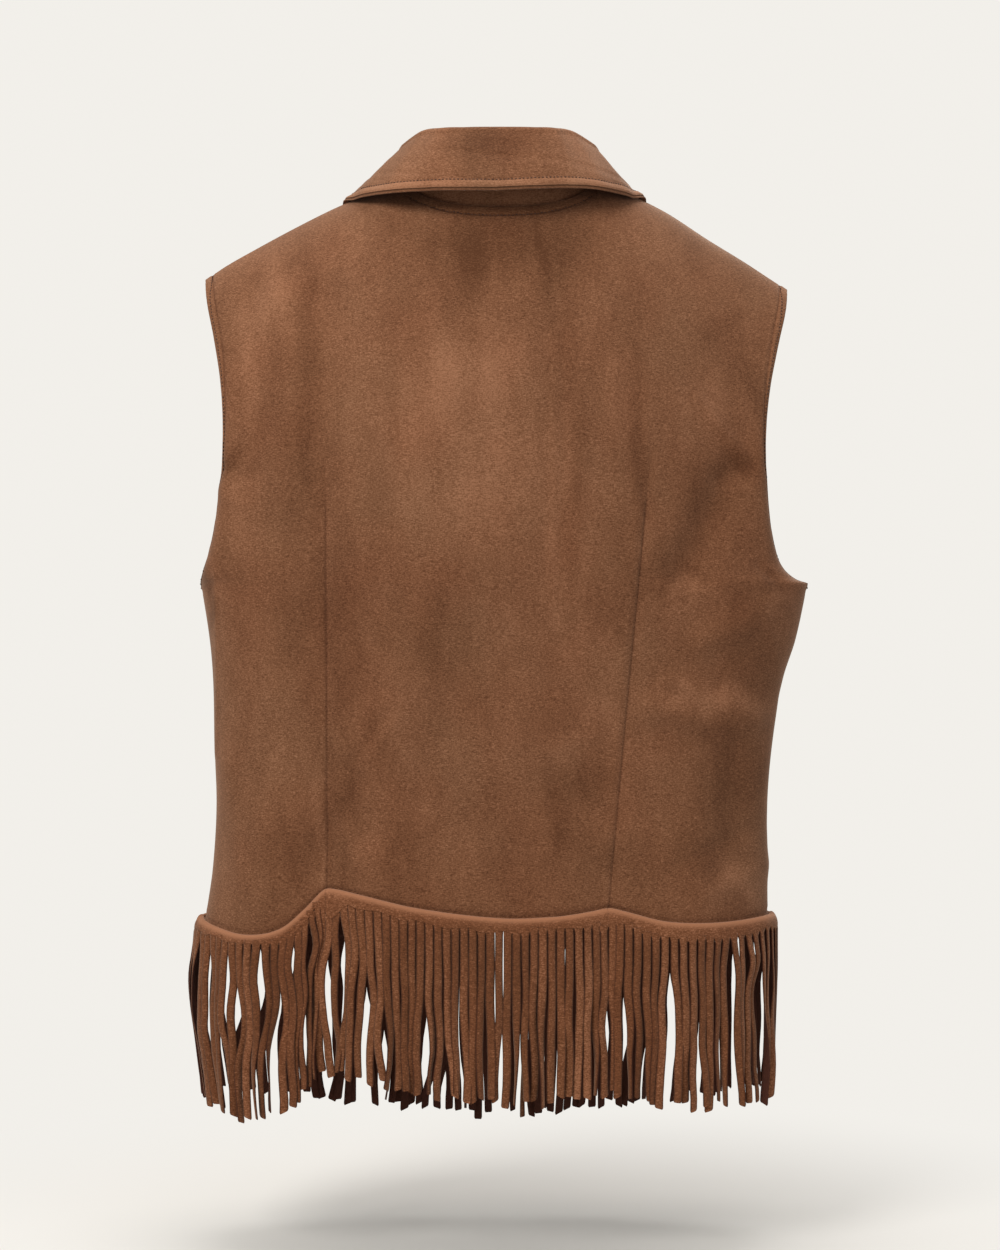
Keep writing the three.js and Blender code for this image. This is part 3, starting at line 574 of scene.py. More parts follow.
def shell(half, x, v):
    """Points of the shell. v runs from 0 at the fringe's seam to 1 at the underarm and 2 at the top."""
    v = np.broadcast_to(v, x.shape)
    points = np.empty((*x.shape, 3))
    below = v < 1
    points[below] = lower_points(half, x[below], v[below])
    points[~below] = upper_points(half, x[~below], v[~below] - 1)
    return points


def row_edge(side, v):
    """Distance of a row's edge from the centre."""
    x = np.full(v.shape, -1.0 if side == "left" else 1.0)
    below = follow_side(SECTIONS, "z", x, mix(SIDE_HEM_Z, UNDERARM_Z, np.minimum(v, 1)))
    return np.where(v < 1, below, armhole_x(x, np.maximum(v - 1, 0)))


# Meshes

def add_object(name, data, body="root"):
    """Puts an object into the scene. It rides on the body, if there is one."""
    piece = bpy.data.objects.new(name, data)
    bpy.context.scene.collection.objects.link(piece)
    if body:
        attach(piece, body)
    return piece


def mesh_of(name, points, faces, materials, face_slots=None, attributes=None):
    """A mesh from points in millimetres, with a float attribute for each name in attributes."""
    mesh = bpy.data.meshes.new(name)
    mesh.from_pydata((np.asarray(points) * MM).tolist(), [], faces)
    for material in materials:
        mesh.materials.append(material)
    if face_slots is not None:
        mesh.polygons.foreach_set("material_index", np.asarray(face_slots, dtype=np.int32))
    for key, values in (attributes or {}).items():
        layer = mesh.attributes.new(key, "FLOAT", "POINT")
        layer.data.foreach_set("value", np.asarray(values, dtype=np.float32))
    mesh.polygons.foreach_set("use_smooth", np.ones(len(mesh.polygons), dtype=bool))
    mesh.update()
    return mesh


def grid_normals(grid):
    """Normals of a grid of points, to the side that its rows and columns turn to."""
    across = np.empty_like(grid)
    across[:, 1:-1] = grid[:, 2:] - grid[:, :-2]
    across[:, 0] = grid[:, 1] - grid[:, 0]
    across[:, -1] = grid[:, -1] - grid[:, -2]
    up = np.empty_like(grid)
    up[1:-1] = grid[2:] - grid[:-2]
    up[0] = grid[1] - grid[0]
    up[-1] = grid[-1] - grid[-2]
    return unit(np.cross(across, up))


def wall_faces(rows, columns):
    """Quads of a closed wall: its outer grid, its inner grid, then its rim."""
    at = np.arange(rows * columns).reshape(rows, columns)
    shift = rows * columns
    outer = np.stack([at[:-1, :-1], at[:-1, 1:], at[1:, 1:], at[1:, :-1]], axis=-1).reshape(-1, 4)
    inner = outer[:, [0, 3, 2, 1]] + shift
    loop = np.r_[at[0, :-1], at[:-1, -1], at[-1, :0:-1], at[:0:-1, 0]]
    after = np.roll(loop, -1)
    rim = np.stack([loop, loop + shift, after + shift, after], axis=-1)
    return outer, inner, rim


def tube_faces(count, sides):
    """Quads round a row of closed rings, and its two end caps."""
    at = np.arange(count * sides).reshape(count, sides)
    after = np.roll(at, -1, axis=1)
    quads = np.stack([at[:-1], at[1:], after[1:], after[:-1]], axis=-1).reshape(-1, 4)
    return quads.tolist(), [at[0].tolist(), at[-1][::-1].tolist()]


def tree_of(points):
    """A tree that finds the nearest one of some points."""
    tree = KDTree(len(points))
    for i, place in enumerate(points):
        tree.insert(place, i)
    tree.balance()
    return tree


LINE_STEP = 0.4  # between the places on a line to which distances are measured


def distances(lines, points):
    """Distance from each point to the nearest place on some lines of points."""
    places = [resampled(line, np.arange(0, lengths_along(line)[-1], LINE_STEP)) for line in lines]
    tree = tree_of(np.vstack(places))
    return np.array([tree.find(p)[2] for p in points.reshape(-1, 3)]).reshape(points.shape[:-1])


def rolled(distance, radius):
    """How far a turned edge rounds away, at a distance from it."""
    short = np.clip(radius - distance, 0, radius)
    return radius - np.sqrt(radius**2 - short**2)


# Panels

EDGE_STEPS = np.array([0, 0.2, 0.5, 0.9, 1.6, 2.6, 3.8, 5, 5.9, 6.6, 7.3, 8.4, 10])  # columns beside an edge
LOWER_ROWS = 88
UPPER_ROWS = 104
TOP_REACH = 310  # rough height of the shell from the underarm to the top edge
TOP_BORDER = 13  # height of the denser rows at the top
ROWS = np.r_[
    np.linspace(0, 1, LOWER_ROWS, endpoint=False),
    1 + np.linspace(0, 1 - TOP_BORDER / TOP_REACH, UPPER_ROWS),
    2 - EDGE_STEPS[::-1] / TOP_REACH,
]
UPPER = ROWS >= 1
DENSE = 420  # places tried along a row when its columns are laid out
CROWDING = 2.2  # how much closer they are towards the edges
# How many columns lie between the edges, the darts' flanks and middles, the neck's sides and its middle
BACK_COLUMNS = [42, 7, 7, 17, 26, 26, 9, 7, 7, 38]
FRONT_COLUMNS = {"left": [66, 26], "right": [26, 66]}


def dart_knots():
    """Where each of the back's rows crosses the two darts."""
    knots = {}
    for side in ("left", "right"):
        x = np.full(ROWS.shape, dart_x(side, UNDERARM_Z))
        for _ in range(3):
            x = dart_x(side, shell(BACK, x, ROWS)[:, 2])
        knots[side] = x
    return knots


def columns_of(half, side=None):
    """Each row's columns, laid out evenly along the cloth, denser at its edges and along the darts."""
    share = np.linspace(-1, 1, DENSE)
    bent = np.sign(share) * (1 - (1 - np.abs(share)) ** CROWDING)
    left, right = row_edge("left", ROWS)[:, None], row_edge("right", ROWS)[:, None]
    neck = np.full(ROWS.shape, NECK_HALF_WIDTH)
    if half is BACK:
        dense = np.where(bent < 0, bent * left, bent * right)
        darts = dart_knots()
        flank = DART["half_width"]
        knots = [
            darts["left"] - flank, darts["left"], darts["left"] + flank, -neck, 0 * neck, neck,
            darts["right"] - flank, darts["right"], darts["right"] + flank,
        ]
        counts = BACK_COLUMNS
    else:
        neck_z = -half["neck"]["drop"]
        height = (shell(half, np.full(ROWS.shape, 1.0), ROWS)[:, 2] - SIDE_HEM_Z) / (neck_z - SIDE_HEM_Z)
        gap = mix(FRONT_OPENING["hem"], FRONT_OPENING["neck"], np.clip(height, 0, 1))[:, None] / 2
        bent = (bent + 1) / 2
        dense = gap + (right - gap) * bent if side == "right" else -(left + (gap - left) * bent)
        knots = [neck] if side == "right" else [-neck]
        counts = FRONT_COLUMNS[side]
    points = shell(half, dense, ROWS[:, None])
    columns = []
    for xs, line, *at in zip(dense, points, *knots):
        along = lengths_along(line)
        stops = np.r_[0, np.interp(at, xs, along), along[-1]]
        stops[0] += EDGE_STEPS[-1]
        stops[-1] -= EDGE_STEPS[-1]
        parts = [EDGE_STEPS[:-1]]
        for a, b, count in zip(stops[:-1], stops[1:], counts):
            parts.append(np.linspace(a, b, count, endpoint=False))
        parts.append(along[-1] - EDGE_STEPS[::-1])
        columns.append(np.interp(np.concatenate(parts), along, xs))
    columns = np.array(columns)
    if half is BACK:
        columns[:, 0], columns[:, -1] = -left[:, 0], right[:, 0]
    return columns


def panel_relief(half, points, turned, sewn, necked):
    """Fine relief and body of a panel in millimetres, from its distances to edges, seams and the neckline.

    The fine part is sewing and shows on the face alone: topstitched grooves, darts and the hem's crease. The
    body is creases, slack and pucker, which the reverse follows by half.
    """
    x, z = points[..., 0], points[..., 2]
    fine = EDGE_PLY["raised"] * (1 - smooth((turned - EDGE_PLY["reach"]) / EDGE_PLY["fade"]))
    fine = fine - GROOVE["depth"] * bell((turned - TOPSTITCH_IN) / GROOVE["half_width"])
    pucker = wave(z + 0.6 * x, 7, 11) * 0.22 * bell((turned - TOPSTITCH_IN) / 4)
    under = 1 - smooth((np.abs(x) - NECK_PLY["half_x"]) / 12)
    fine = fine - GROOVE["depth"] * under * bell((necked - NECK_TOPSTITCH_IN) / GROOVE["half_width"])
    fine = fine + NECK_PLY["raised"] * under * (1 - smooth((necked - NECK_PLY["reach"]) / NECK_PLY["fade"]))
    pucker = pucker + wave(x, 8, 12) * 0.2 * under * bell((necked - NECK_TOPSTITCH_IN) / 5)
    ridge = SEAM_RIDGE["raised"] * bell((sewn - SEAM_RIDGE["away"]) / SEAM_RIDGE["half_width"])
    if half is BACK:
        for side in ("left", "right"):
            away = x - dart_x(side, z)
            strength = smooth((DART["tip_z"] + 6 - z) / 26)
            fine = fine - DART_SEAM["depth"] * strength * bell(away / DART_SEAM["half_width"])
            ridge = ridge - DART_STEP * strength * np.tanh(away / 1.5) * bell(away / 9)
            pucker = pucker + 0.25 * strength * wave(z, 15, 21) * bell(away / 8)
    above = z - follow(half["hem"], "x", "z", x)
    fine = fine - HEM_LINE["depth"] * bell((above - HEM_LINE["up"]) / HEM_LINE["half_width"])
    slack = 0.4 * wave(x + 40 * wave(z, 90, 31), 52, 32) * smooth(turned / 30)
    slack = slack + 0.3 * wave(z + 30 * wave(x, 70, 33), 46, 34) * smooth(turned / 30)
    body = ridges(half["creases"], x, z) * smooth(turned / 9) + slack * smooth(sewn / 20)
    return fine, body + ridge + pucker


def painted_nap_and_light(half, points):
    """How light or dark the cloth is painted at each point, in marks with ragged edges: brushed nap, and
    painted shade and light.
    """
    x, z = points[..., 0], points[..., 2]
    ragged_x = x + 5 * wave(z + 0.3 * x, 24, 71) + 3 * wave(z - x, 9, 72)
    ragged_z = z + 10 * wave(x, 19, 73) + 5 * wave(x + 0.4 * z, 8, 74)
    nap_and_painted_light = np.zeros(x.shape)
    for x0, z0, half_x, half_z, amount in zip(*half["nap_and_painted_light"].values()):
        away = np.hypot((ragged_x - x0) / half_x, (ragged_z - z0) / half_z)
        nap_and_painted_light = nap_and_painted_light + amount * np.exp(-(away**3.5))
    return nap_and_painted_light * (0.85 + 0.3 * wave(x + 0.15 * z, 7, 75))


def twice(values):
    """Values of a wall's outer grid, for its two sides."""
    return np.tile(values.reshape(-1), 2)


def panel(name, half, side, materials):
    """One panel as a closed wall. Returns its piece, its outer surface, its turned edges and its neckline."""
    columns = columns_of(half, side)
    outer = shell(half, columns, ROWS[:, None])
    on_seam = np.abs(outer[..., 1]) < SEAM_GAP / 2
    outer[..., 1] = np.where(on_seam, -half["facing"] * SEAM_LAP, outer[..., 1])
    normals = grid_normals(outer)
    normals[..., 1] = np.where(np.abs(outer[..., 1]) <= SEAM_GAP, 0, normals[..., 1])
    normals = unit(normals) * -half["facing"]
    top = outer[-1]
    in_neck = np.abs(top[:, 0]) <= NECK_HALF_WIDTH + 0.5
    neckline = top[in_neck]
    edges, seams = [], []
    for end, column in (("left", 0), ("right", -1)):
        if half is BACK or side == end:
            edges.append(outer[UPPER, column])
            seams.append(outer[~UPPER, column])
            on_side = top[:, 0] < 0 if end == "left" else top[:, 0] > 0
            seams.append(top[~in_neck & on_side])
        else:
            edges.append(outer[:, column])
    turned, sewn, necked = [distances(lines, outer) for lines in (edges, seams, [neckline])]
    fine, body = panel_relief(half, outer, turned, sewn, necked)
    free = rolled(np.minimum(turned, necked), EDGE_RADIUS)
    rounding = np.maximum(free, rolled(sewn, SEAM_RADIUS))
    face = outer + normals * (body + fine - rounding)[..., None]
    back = outer + normals * (0.5 * body - CLOTH + rounding)[..., None]
    outside, inside, rim = wall_faces(*columns.shape)
    if half is FRONT:
        outside, inside, rim = outside[:, ::-1], inside[:, ::-1], rim[:, ::-1]
    slots = np.r_[np.zeros(len(outside)), np.ones(len(inside)), np.zeros(len(rim))]
    points = np.vstack([face.reshape(-1, 3), back.reshape(-1, 3)])
    # Painted light on the panel: the first channel holds brushed nap with painted shade and light, the second
    # darkens grooves and creases as painted shade and lightens raised plies as painted highlight, the third
    # lightens the rolled edges as wear and painted highlight.
    mesh = mesh_of(
        name, points, np.vstack([outside, inside, rim]).tolist(), materials, slots,
        {"nap_and_painted_light": twice(painted_nap_and_light(half, outer)), "relief": twice(fine + 0.1 * body), "edge": twice(free)},
    )
    return add_object(name, mesh), {"points": face, "normals": normals}, edges, neckline


# Stitches

STITCH_SIDES = 6


def on_surface(surface, points):
    """The nearest places on a panel's surface, with their normals."""
    flat = surface["points"].reshape(-1, 3)
    if "tree" not in surface:
        surface["tree"] = tree_of(flat)
    near = np.array([surface["tree"].find(p)[1] for p in points])
    normal = surface["normals"].reshape(-1, 3)[near]
    lift = np.sum((points - flat[near]) * normal, axis=1, keepdims=True)
    return points - normal * lift, normal


def inset_line(surface, line, distance):
    """A line on a surface at a distance in from one of its edges."""
    smooth_line = resampled(line, np.arange(0.5, lengths_along(line)[-1], 2.0))
    _, normal = on_surface(surface, smooth_line)
    tangent = unit(np.gradient(smooth_line, axis=0))
    inward = unit(np.cross(normal, tangent))
    middle = surface["points"][surface["points"].shape[0] // 2, surface["points"].shape[1] // 2]
    if np.mean(np.sum(inward * (middle - smooth_line), axis=1)) < 0:
        inward = -inward
    inset = smooth_line + inward * distance
    for _ in range(12):
        inset[1:-1] = (inset[:-2] + 2 * inset[1:-1] + inset[2:]) / 4
    return on_surface(surface, inset)[0]


def stitches(name, surface_lines, material):
    """Rows of stitches as one mesh: each is a short rounded thread that dips into the cloth at its ends."""
    points, faces = [], []
    for surface, line in surface_lines:
        at = np.arange(STITCH["pitch"] / 2, lengths_along(line)[-1], STITCH["pitch"])
        centres, normals = on_surface(surface, resampled(line, at))
        ahead = unit(resampled(line, at + 0.5) - resampled(line, at - 0.5))
        across = unit(np.cross(normals, ahead))
        for i, (centre, normal, along, side) in enumerate(zip(centres, normals, ahead, across)):
            along = unit(along + side * 0.12 * (chance(i, 41) - 0.5))
            half = STITCH["length"] / 2 * (1 + 0.15 * (chance(i, 42) - 0.5))
            start = len(points)
            points.append(centre - along * half - normal * STITCH["dip"])
            for end in (-STITCH["shoulder"], STITCH["shoulder"]):
                hub = centre + along * half * end + normal * STITCH["lift"]
                for s in range(STITCH_SIDES):
                    turn = 2 * math.pi * s / STITCH_SIDES
                    arm = side * math.cos(turn) + normal * math.sin(turn)
                    points.append(hub + arm * STITCH["radius"])
            points.append(centre + along * half - normal * STITCH["dip"])
            last = start + 2 * STITCH_SIDES + 1
            for s in range(STITCH_SIDES):
                a = start + 1 + s
                b = start + 1 + (s + 1) % STITCH_SIDES
                faces.append((start, b, a))
                faces.append((a, b, b + STITCH_SIDES, a + STITCH_SIDES))
                faces.append((a + STITCH_SIDES, b + STITCH_SIDES, last))
    piece = add_object(name, mesh_of(name, points, faces, [material]))
    return piece


# Collar

def shell_samples():
    """Places on the upper shell with outward normals, for keeping the collar clear of it."""
    places, normals = [], []
    upper = 1 + np.linspace(0.35, 1, 41)[:, None]
    for half in (BACK, FRONT):
        for sign in (-1, 1):
            x = np.broadcast_to(sign * np.linspace(1, 160, 41), (41, 41))
            grid = shell(half, x, upper)
            normal = grid_normals(grid) * (-1 if half["facing"] * sign > 0 else 1)
            places.append(grid.reshape(-1, 3))
            normals.append(normal.reshape(-1, 3))
    return np.vstack(places), np.vstack(normals)


def settle_on_shell(point, places, normals):
    """Moves a point out along the shell's normal until it has the collar's clearance."""
    for _ in range(3):
        near = np.all(np.abs(places - point) < 25, axis=1)
        if not near.any():
            return point
        away = np.linalg.norm(places[near] - point, axis=1)
        weight = bell((away - away.min()) / 5)
        clear = np.sum(weight * np.sum((point - places[near]) * normals[near], axis=1)) / weight.sum()
        need = COLLAR["clearance"] - clear
        if need > 0:
            point = point + unit(np.sum(normals[near] * weight[:, None], axis=0)) * need
    return point


def neck_seam(station, sign):
    """A place on the neck seam, which runs straight between the panels' corners."""
    low = min(int(math.floor(station)), LAST_STATION - 1)
    ends = []
    for corner in (low, low + 1):
        half = BACK if corner < LAST_STATION / 2 else FRONT
        x = NECK_SHARES[abs(corner - LAST_STATION // 2)] * NECK_HALF_WIDTH
        x = max(x, FRONT_OPENING["neck"] / 2 if corner == LAST_STATION else 1e-6)
        ends.append(shell(half, np.array([sign * x]), np.array([2.0]))[0])
    return mix(ends[0], ends[1], station - low)


STAND_STEPS = 14
FOLD_STEPS = 9
FALL_STEPS = 26


def collar_path(station, sign, places, normals):
    """The middle of the collar's cloth at one station, from its seat up over the fold to its edge."""
    side = "left" if sign < 0 else "right"
    guide = {key: float(follow(COLLAR_GUIDES, "station", key, station)) for key in COLLAR_GUIDES}
    seam = neck_seam(station, sign)
    before = neck_seam(max(station - 0.5, 0), sign)
    after = neck_seam(min(station + 0.5, LAST_STATION), sign)
    inward = unit(sign * np.array([before[1] - after[1], after[0] - before[0], 0]))
    upright = inward[1] ** 2
    inset = SEAM_GAP + COLLAR["cloth"] / 2 + CLOTH * upright + COLLAR["ease"] * mix(0.5, 1, upright)
    base = seam + inward * inset - np.array([0, 0, COLLAR["seat_depth"] * upright + COLLAR["sewn_in"]])
    fold_side = guide["fold_side"] + COLLAR_FOLD_OUT[side] * math.sin(station / LAST_STATION * math.pi)
    fold_side -= COLLAR_TUCK[side] * bell((station - 2.6) / 1.1)
    lift = COLLAR_LIFT[side] * bell((station - 2.2) / 1.6) * smooth(station / 0.5 + 0.5)
    fold = seam + np.array([sign * fold_side, guide["fold_depth"], guide["fold_rise"]])
    edge_side = COLLAR_REACH[side] * guide["edge_side"]
    edge = seam + np.array([sign * edge_side, guide["edge_depth"], guide["edge_rise"] + lift])
    away = unit((edge - seam) * np.array([1, 1, 0]))
    radius = COLLAR["fold_radius"]
    turn = np.linspace(0, math.pi, FOLD_STEPS)[:, None]
    arc = fold - away * radius * np.cos(turn) + np.array([0, 0, radius]) * (np.sin(turn) - 1)
    stand = mix(base, arc[0], np.linspace(0, 1, STAND_STEPS, endpoint=False)[:, None])
    start = arc[-1]
    bow = mix(start, edge, 0.5) + away * COLLAR_BOW[side]
    t = np.linspace(0, 1, FALL_STEPS + 1)[1:, None]
    t = 1 - (1 - t) ** 1.3
    fall = start * (1 - t) ** 2 + bow * 2 * t * (1 - t) + edge * t * t
    settled = np.array([settle_on_shell(p, places, normals) for p in np.vstack([arc[-1:], fall])])
    return np.vstack([stand, arc[:-1], settled])


COLLAR_STATION_STEP = 0.09
# Rings of the edge between the two layers: how far past the edge, and shares of the half thickness outwards.
# The groove lies in the middle, and the under layer reaches further.
COLLAR_RIM = [(0.35, 0.75), (0.3, 0.25), (-1.2, 0), (2.1, 0.05), (2.6, -0.6)]
# The groove between the layers is darkened as painted shade.
RIM_RELIEF = [0, 0, -1, 0, 0]
# The rim is lightened, as wear and painted highlight.
RIM_WEAR_AND_HIGHLIGHT = 0.4
UNDER_PAINTED_LIGHT = 0.9  # the under layer and the stand are painted lighter, as painted light where they lie in shade


def collar(materials):
    """The collar as one closed wall with the groove between its two layers along the edge."""
    places, normals = shell_samples()
    stations = np.linspace(0, LAST_STATION, int(LAST_STATION / COLLAR_STATION_STEP))
    right = [collar_path(s, 1, places, normals) for s in stations]
    left = [collar_path(s, -1, places, normals) for s in stations[:0:-1]]
    middle = np.array(left + right)
    for _ in range(2):
        middle[1:-1] = (middle[:-2] + 2 * middle[1:-1] + middle[2:]) / 4
    normal = grid_normals(middle)
    along = lengths_along(middle[:, -1])[:, None]
    lengths = np.cumsum(np.linalg.norm(np.diff(middle, axis=1), axis=2), axis=1)
    from_edge = lengths[:, -1:] - np.hstack([np.zeros((len(middle), 1)), lengths])
    ends = np.minimum(along, along[-1] - along)
    turned = np.minimum(from_edge, ends)
    fall = smooth((np.arange(middle.shape[1]) - STAND_STEPS - FOLD_STEPS) / 6)[None, :]
    groove = 0.6 * bell((turned - COLLAR_STITCH_IN) / 0.75)
    fine = fall * (0.3 * (1 - smooth((turned - 4.4) / 1.8)) - groove)
    slack = 0.5 * wave(along, 44, 51) * smooth(from_edge / 14) + 0.25 * wave(along + 9 * from_edge, 27, 52)
    pucker = 0.18 * wave(along, 7, 53) * bell((turned - COLLAR_STITCH_IN) / 5)
    body = fall * (slack + pucker)
    thick = COLLAR["cloth"] / 2
    rounding = rolled(np.minimum(from_edge, ends + 0.2), 0.7)
    face = middle + normal * (thick + fine + body - rounding)[..., None]
    under = middle + normal * (body - thick + rounding)[..., None]
    lip = unit(middle[:, -1] - middle[:, -2])
    tip = middle[:, -1] + normal[:, -1] * body[:, -1:]
    rim = [tip + lip * past + normal[:, -1] * out * thick for past, out in COLLAR_RIM]
    rings = np.concatenate([face, np.stack(rim, axis=1), under[:, ::-1]], axis=1)
    count, sides = rings.shape[:2]
    quads, caps = tube_faces(count, sides)
    from_nape = np.abs(along - along[-1] / 2)
    # Painted light and shade on the collar: lighter at its sides and along its edge, darker at the top of the
    # nape.
    nap_and_painted_light = 0.5 * bell((from_nape - 72) / 26) - 1.1 * bell(from_nape / 36) * bell((from_edge - 36) / 14)
    nap_and_painted_light = nap_and_painted_light + 0.9 * (1 - smooth((turned - 4.6) / 1.6))
    on_rim = np.ones((count, len(COLLAR_RIM)))
    # The first channel paints that light and shade, the second darkens the groove along the edge as painted
    # shade, and the third lightens the rims as wear and painted highlight.
    attributes = {
        "nap_and_painted_light": [nap_and_painted_light, 0 * on_rim, np.full(body.shape, UNDER_PAINTED_LIGHT)],
        "relief": [fine + 0.1 * body, RIM_RELIEF * on_rim, 0 * body],
        "edge": [rounding, RIM_WEAR_AND_HIGHLIGHT * on_rim, rounding[:, ::-1]],
    }
    values = {key: np.concatenate(parts, axis=1).reshape(-1) for key, parts in attributes.items()}
    piece = add_object("collar_cloth", mesh_of(
        "collar_cloth", rings.reshape(-1, 3), quads + caps, materials, None, values,
    ))
    columns = slice(STAND_STEPS + FOLD_STEPS + 2, None)
    surface = {"points": face[:, columns], "normals": normal[:, columns]}
    return piece, surface, [face[0, columns], face[:, -1], face[-1, columns]]


# Fringe

def seam_line(half, x):
    """The fringe's seam on the shell: its places, the way up the cloth, the way out, and distances."""
    low = shell(half, x, np.zeros(x.shape))
    high = shell(half, x, np.full(x.shape, 0.036))
    low[..., 1] = np.where(np.abs(low[..., 1]) < SEAM_GAP / 2, half["facing"] * SEAM_GAP / 2, low[..., 1])
    slope = (high - low) / (high - low)[:, 2:]
    heading = np.gradient(low * np.array([1, 1, 0]), axis=0)
    outward = unit(np.stack([-heading[:, 1], heading[:, 0], 0 * x], axis=1))
    outward = outward * np.sign(np.sum(outward[:, 1]) * half["facing"])
    along = lengths_along(low)
    return {"low": low, "slope": slope, "outward": outward, "along": along, "half": half}


def on_line(line, along):
    """The seam line's place, slope and way out at distances along it."""
    return [
        np.stack([np.interp(along, line["along"], line[key][:, axis]) for axis in range(3)], axis=-1)
        for key in ("low", "slope", "outward")
    ]


def heading_on(line, along, reach):
    """The direction of the seam line over the reach either side of a place, and the way out from it."""
    before = on_line(line, max(along - reach, 0))[0]
    after = on_line(line, min(along + reach, line["along"][-1]))[0]
    tangent = unit((after - before) * np.array([1, 1, 0]))
    outward = np.array([tangent[1], -tangent[0], 0])
    if np.dot(outward, on_line(line, along)[2]) < 0:
        outward = -outward
    return tangent, outward


# The band's middle line, as distances out from the shell and down from the seam, with its rolled top
BAND_PATH = table(
    "out down",
    (1.3, 2.6),
    (1.2, 1.2),
    (1.5, 0.2),
    (2.3, -0.35),
    (3.3, -0.15),
    (4.2, 0.6),
    (5, 1.7),
    (5.6, 3),
    (6.05, 4.4),
    (6.3, 5.8),
    (6.35, 7.2),
    (6.35, 8),
    (6.35, 8.2),
)
BAND_ROLL_ROWS = 4  # rows of the path before it heads down
BAND_BOTTOM = 8.2
CUT_STRETCH_FROM = 2.5  # below this the band stretches or shrinks to where the cuts begin
HIGHEST_CUT = 4.6
BAND_HALF_CLOTH = 0.8
BAND_STEP = 2.1
BAND_HIGHLIGHT = {"most": 3, "down": 0.3, "half_width": 1.9}  # the painted highlight along the rolled top, where light falls on it
# Where the cuts between the strands begin lower or higher on the back's band: centre, half width, how much
BAND_CUTS = table(
    "x half_width down",
    (-196, 26, -3.4),
    (-120, 8, 11),
    (-135, 5, -2.5),
    (76, 6, 5),
    (128, 34, 2.2),
)


def band_out(down, cut):
    """How far the band's middle stands out from the shell, at a distance down from the seam."""
    stretch = (BAND_BOTTOM - CUT_STRETCH_FROM) / (cut - CUT_STRETCH_FROM)
    place = np.where(down > CUT_STRETCH_FROM, CUT_STRETCH_FROM + (down - CUT_STRETCH_FROM) * stretch, down)
    return np.interp(place, BAND_PATH["down"][BAND_ROLL_ROWS:], BAND_PATH["out"][BAND_ROLL_ROWS:])


def cut_down(line, along):
    """How far below the seam's line the cuts between the strands begin."""
    down = BAND_BOTTOM + 1.7 * wave(along, 8, 63)
    if line["half"] is BACK:
        x = on_line(line, along)[0][..., 0]
        for centre, half_width, more in zip(*BAND_CUTS.values()):
            down = down + more * bell((x - centre) / half_width)
    return np.maximum(down, HIGHEST_CUT)


def band(line, start, end):
    """The uncut top of a length of fringe, as points, quads, slots and its painted highlight."""
    steps = max(int((end - start) / BAND_STEP), 6)
    along = np.r_[start, start + 0.5, np.linspace(start + 1.4, end - 1.4, steps), end - 0.5, end]
    low, slope, outward = on_line(line, along)
    path = np.stack([BAND_PATH["out"], BAND_PATH["down"]], axis=1)
    turn = unit(np.gradient(path, axis=0))
    normal = np.stack([turn[:, 1], -turn[:, 0]], axis=1)
    ends = rolled(np.minimum(along - start, end - along), 0.7)
    swell = 0.3 * wave(along, 23, 61) + 0.15 * wave(along, 7, 62)
    stretch = (cut_down(line, along) - BAND_BOTTOM) / (BAND_BOTTOM - CUT_STRETCH_FROM)
    rings = []
    for i in range(len(along)):
        thick = BAND_HALF_CLOTH - 0.6 * ends[i]
        outer = path + normal * thick + np.array([swell[i], 0])
        inner = path - normal * thick + np.array([swell[i], 0])
        ring = np.vstack([outer, inner[::-1]])
        ring[:, 1] += stretch[i] * np.maximum(ring[:, 1] - CUT_STRETCH_FROM, 0)
        rise = STRIP["overlap"] - ring[:, 1:]
        rings.append(low[i] + slope[i] * rise + outward[i] * ring[:, :1])
    rings = np.array(rings)
    quads, caps = tube_faces(*rings.shape[:2])
    # The painted highlight along the rolled top, where light falls on it.
    wear_and_highlight = BAND_HIGHLIGHT["most"] * bell((path[:, 1] - BAND_HIGHLIGHT["down"]) / BAND_HIGHLIGHT["half_width"])
    band_highlight = np.tile(np.r_[wear_and_highlight, 0 * wear_and_highlight], len(rings))
    return rings.reshape(-1, 3), quads + caps, [0] * (len(quads) + len(caps)), band_highlight


def parting_push(half, x, share):
    """How far a strand is pushed sideways by the partings, at shares of its length."""
    push = np.zeros(share.shape)
    wider = 1 if half is BACK else FRONT_PARTING
    for back, front, width, start, end in zip(*PARTINGS.values()):
        opening = smooth((share - start) / 0.24) * smooth((end - share) / 0.22 + 0.2)
        away = (x - (back if half is BACK else front)) / PARTING_REACH
        push = push + 0.5 * wider * width * opening * np.sign(away) * math.exp(-abs(away))
    return push


STRAND_RINGS = 26
TOP_RINGS = np.array([0, 0.3, 0.6, 0.85, 1])  # of a strand's part above its cut
# A strand's section, in shares of its half width and half thickness. The first five points are outside.
STRAND_SECTION = np.array([
    (-0.96, 0.35), (-0.6, 1.25), (0, 1.6), (0.6, 1.25), (0.96, 0.35), (1, 0),
    (0.97, -0.8), (0.6, -0.5), (0, -0.3), (-0.6, -0.5), (-0.97, -0.8), (-1, 0),
])
FLAT_SECTION = np.sign(STRAND_SECTION[:, 1:])  # the same for a strand's top, which is a flat ribbon there
HIDDEN_HALF_CLOTH = 0.66  # half thickness of the top inside the band
COVERING_HALF_CLOTH = 0.85  # and over the band's lower edge, just outside it
TURNED_CHANCE = {"side": 0.25, "middle": 0.12}  # of a strand that turns over as it hangs
OUTSIDE_FACES = (0, 1, 2, 3, 4, 11)
STRAND_EDGE_SHADE = np.array([-0.8, 0, 0, 0, -0.8, -1.6, -0.4, 0, 0, 0, -0.4, -1.6])  # cut edges painted darker, as painted shade between the strands
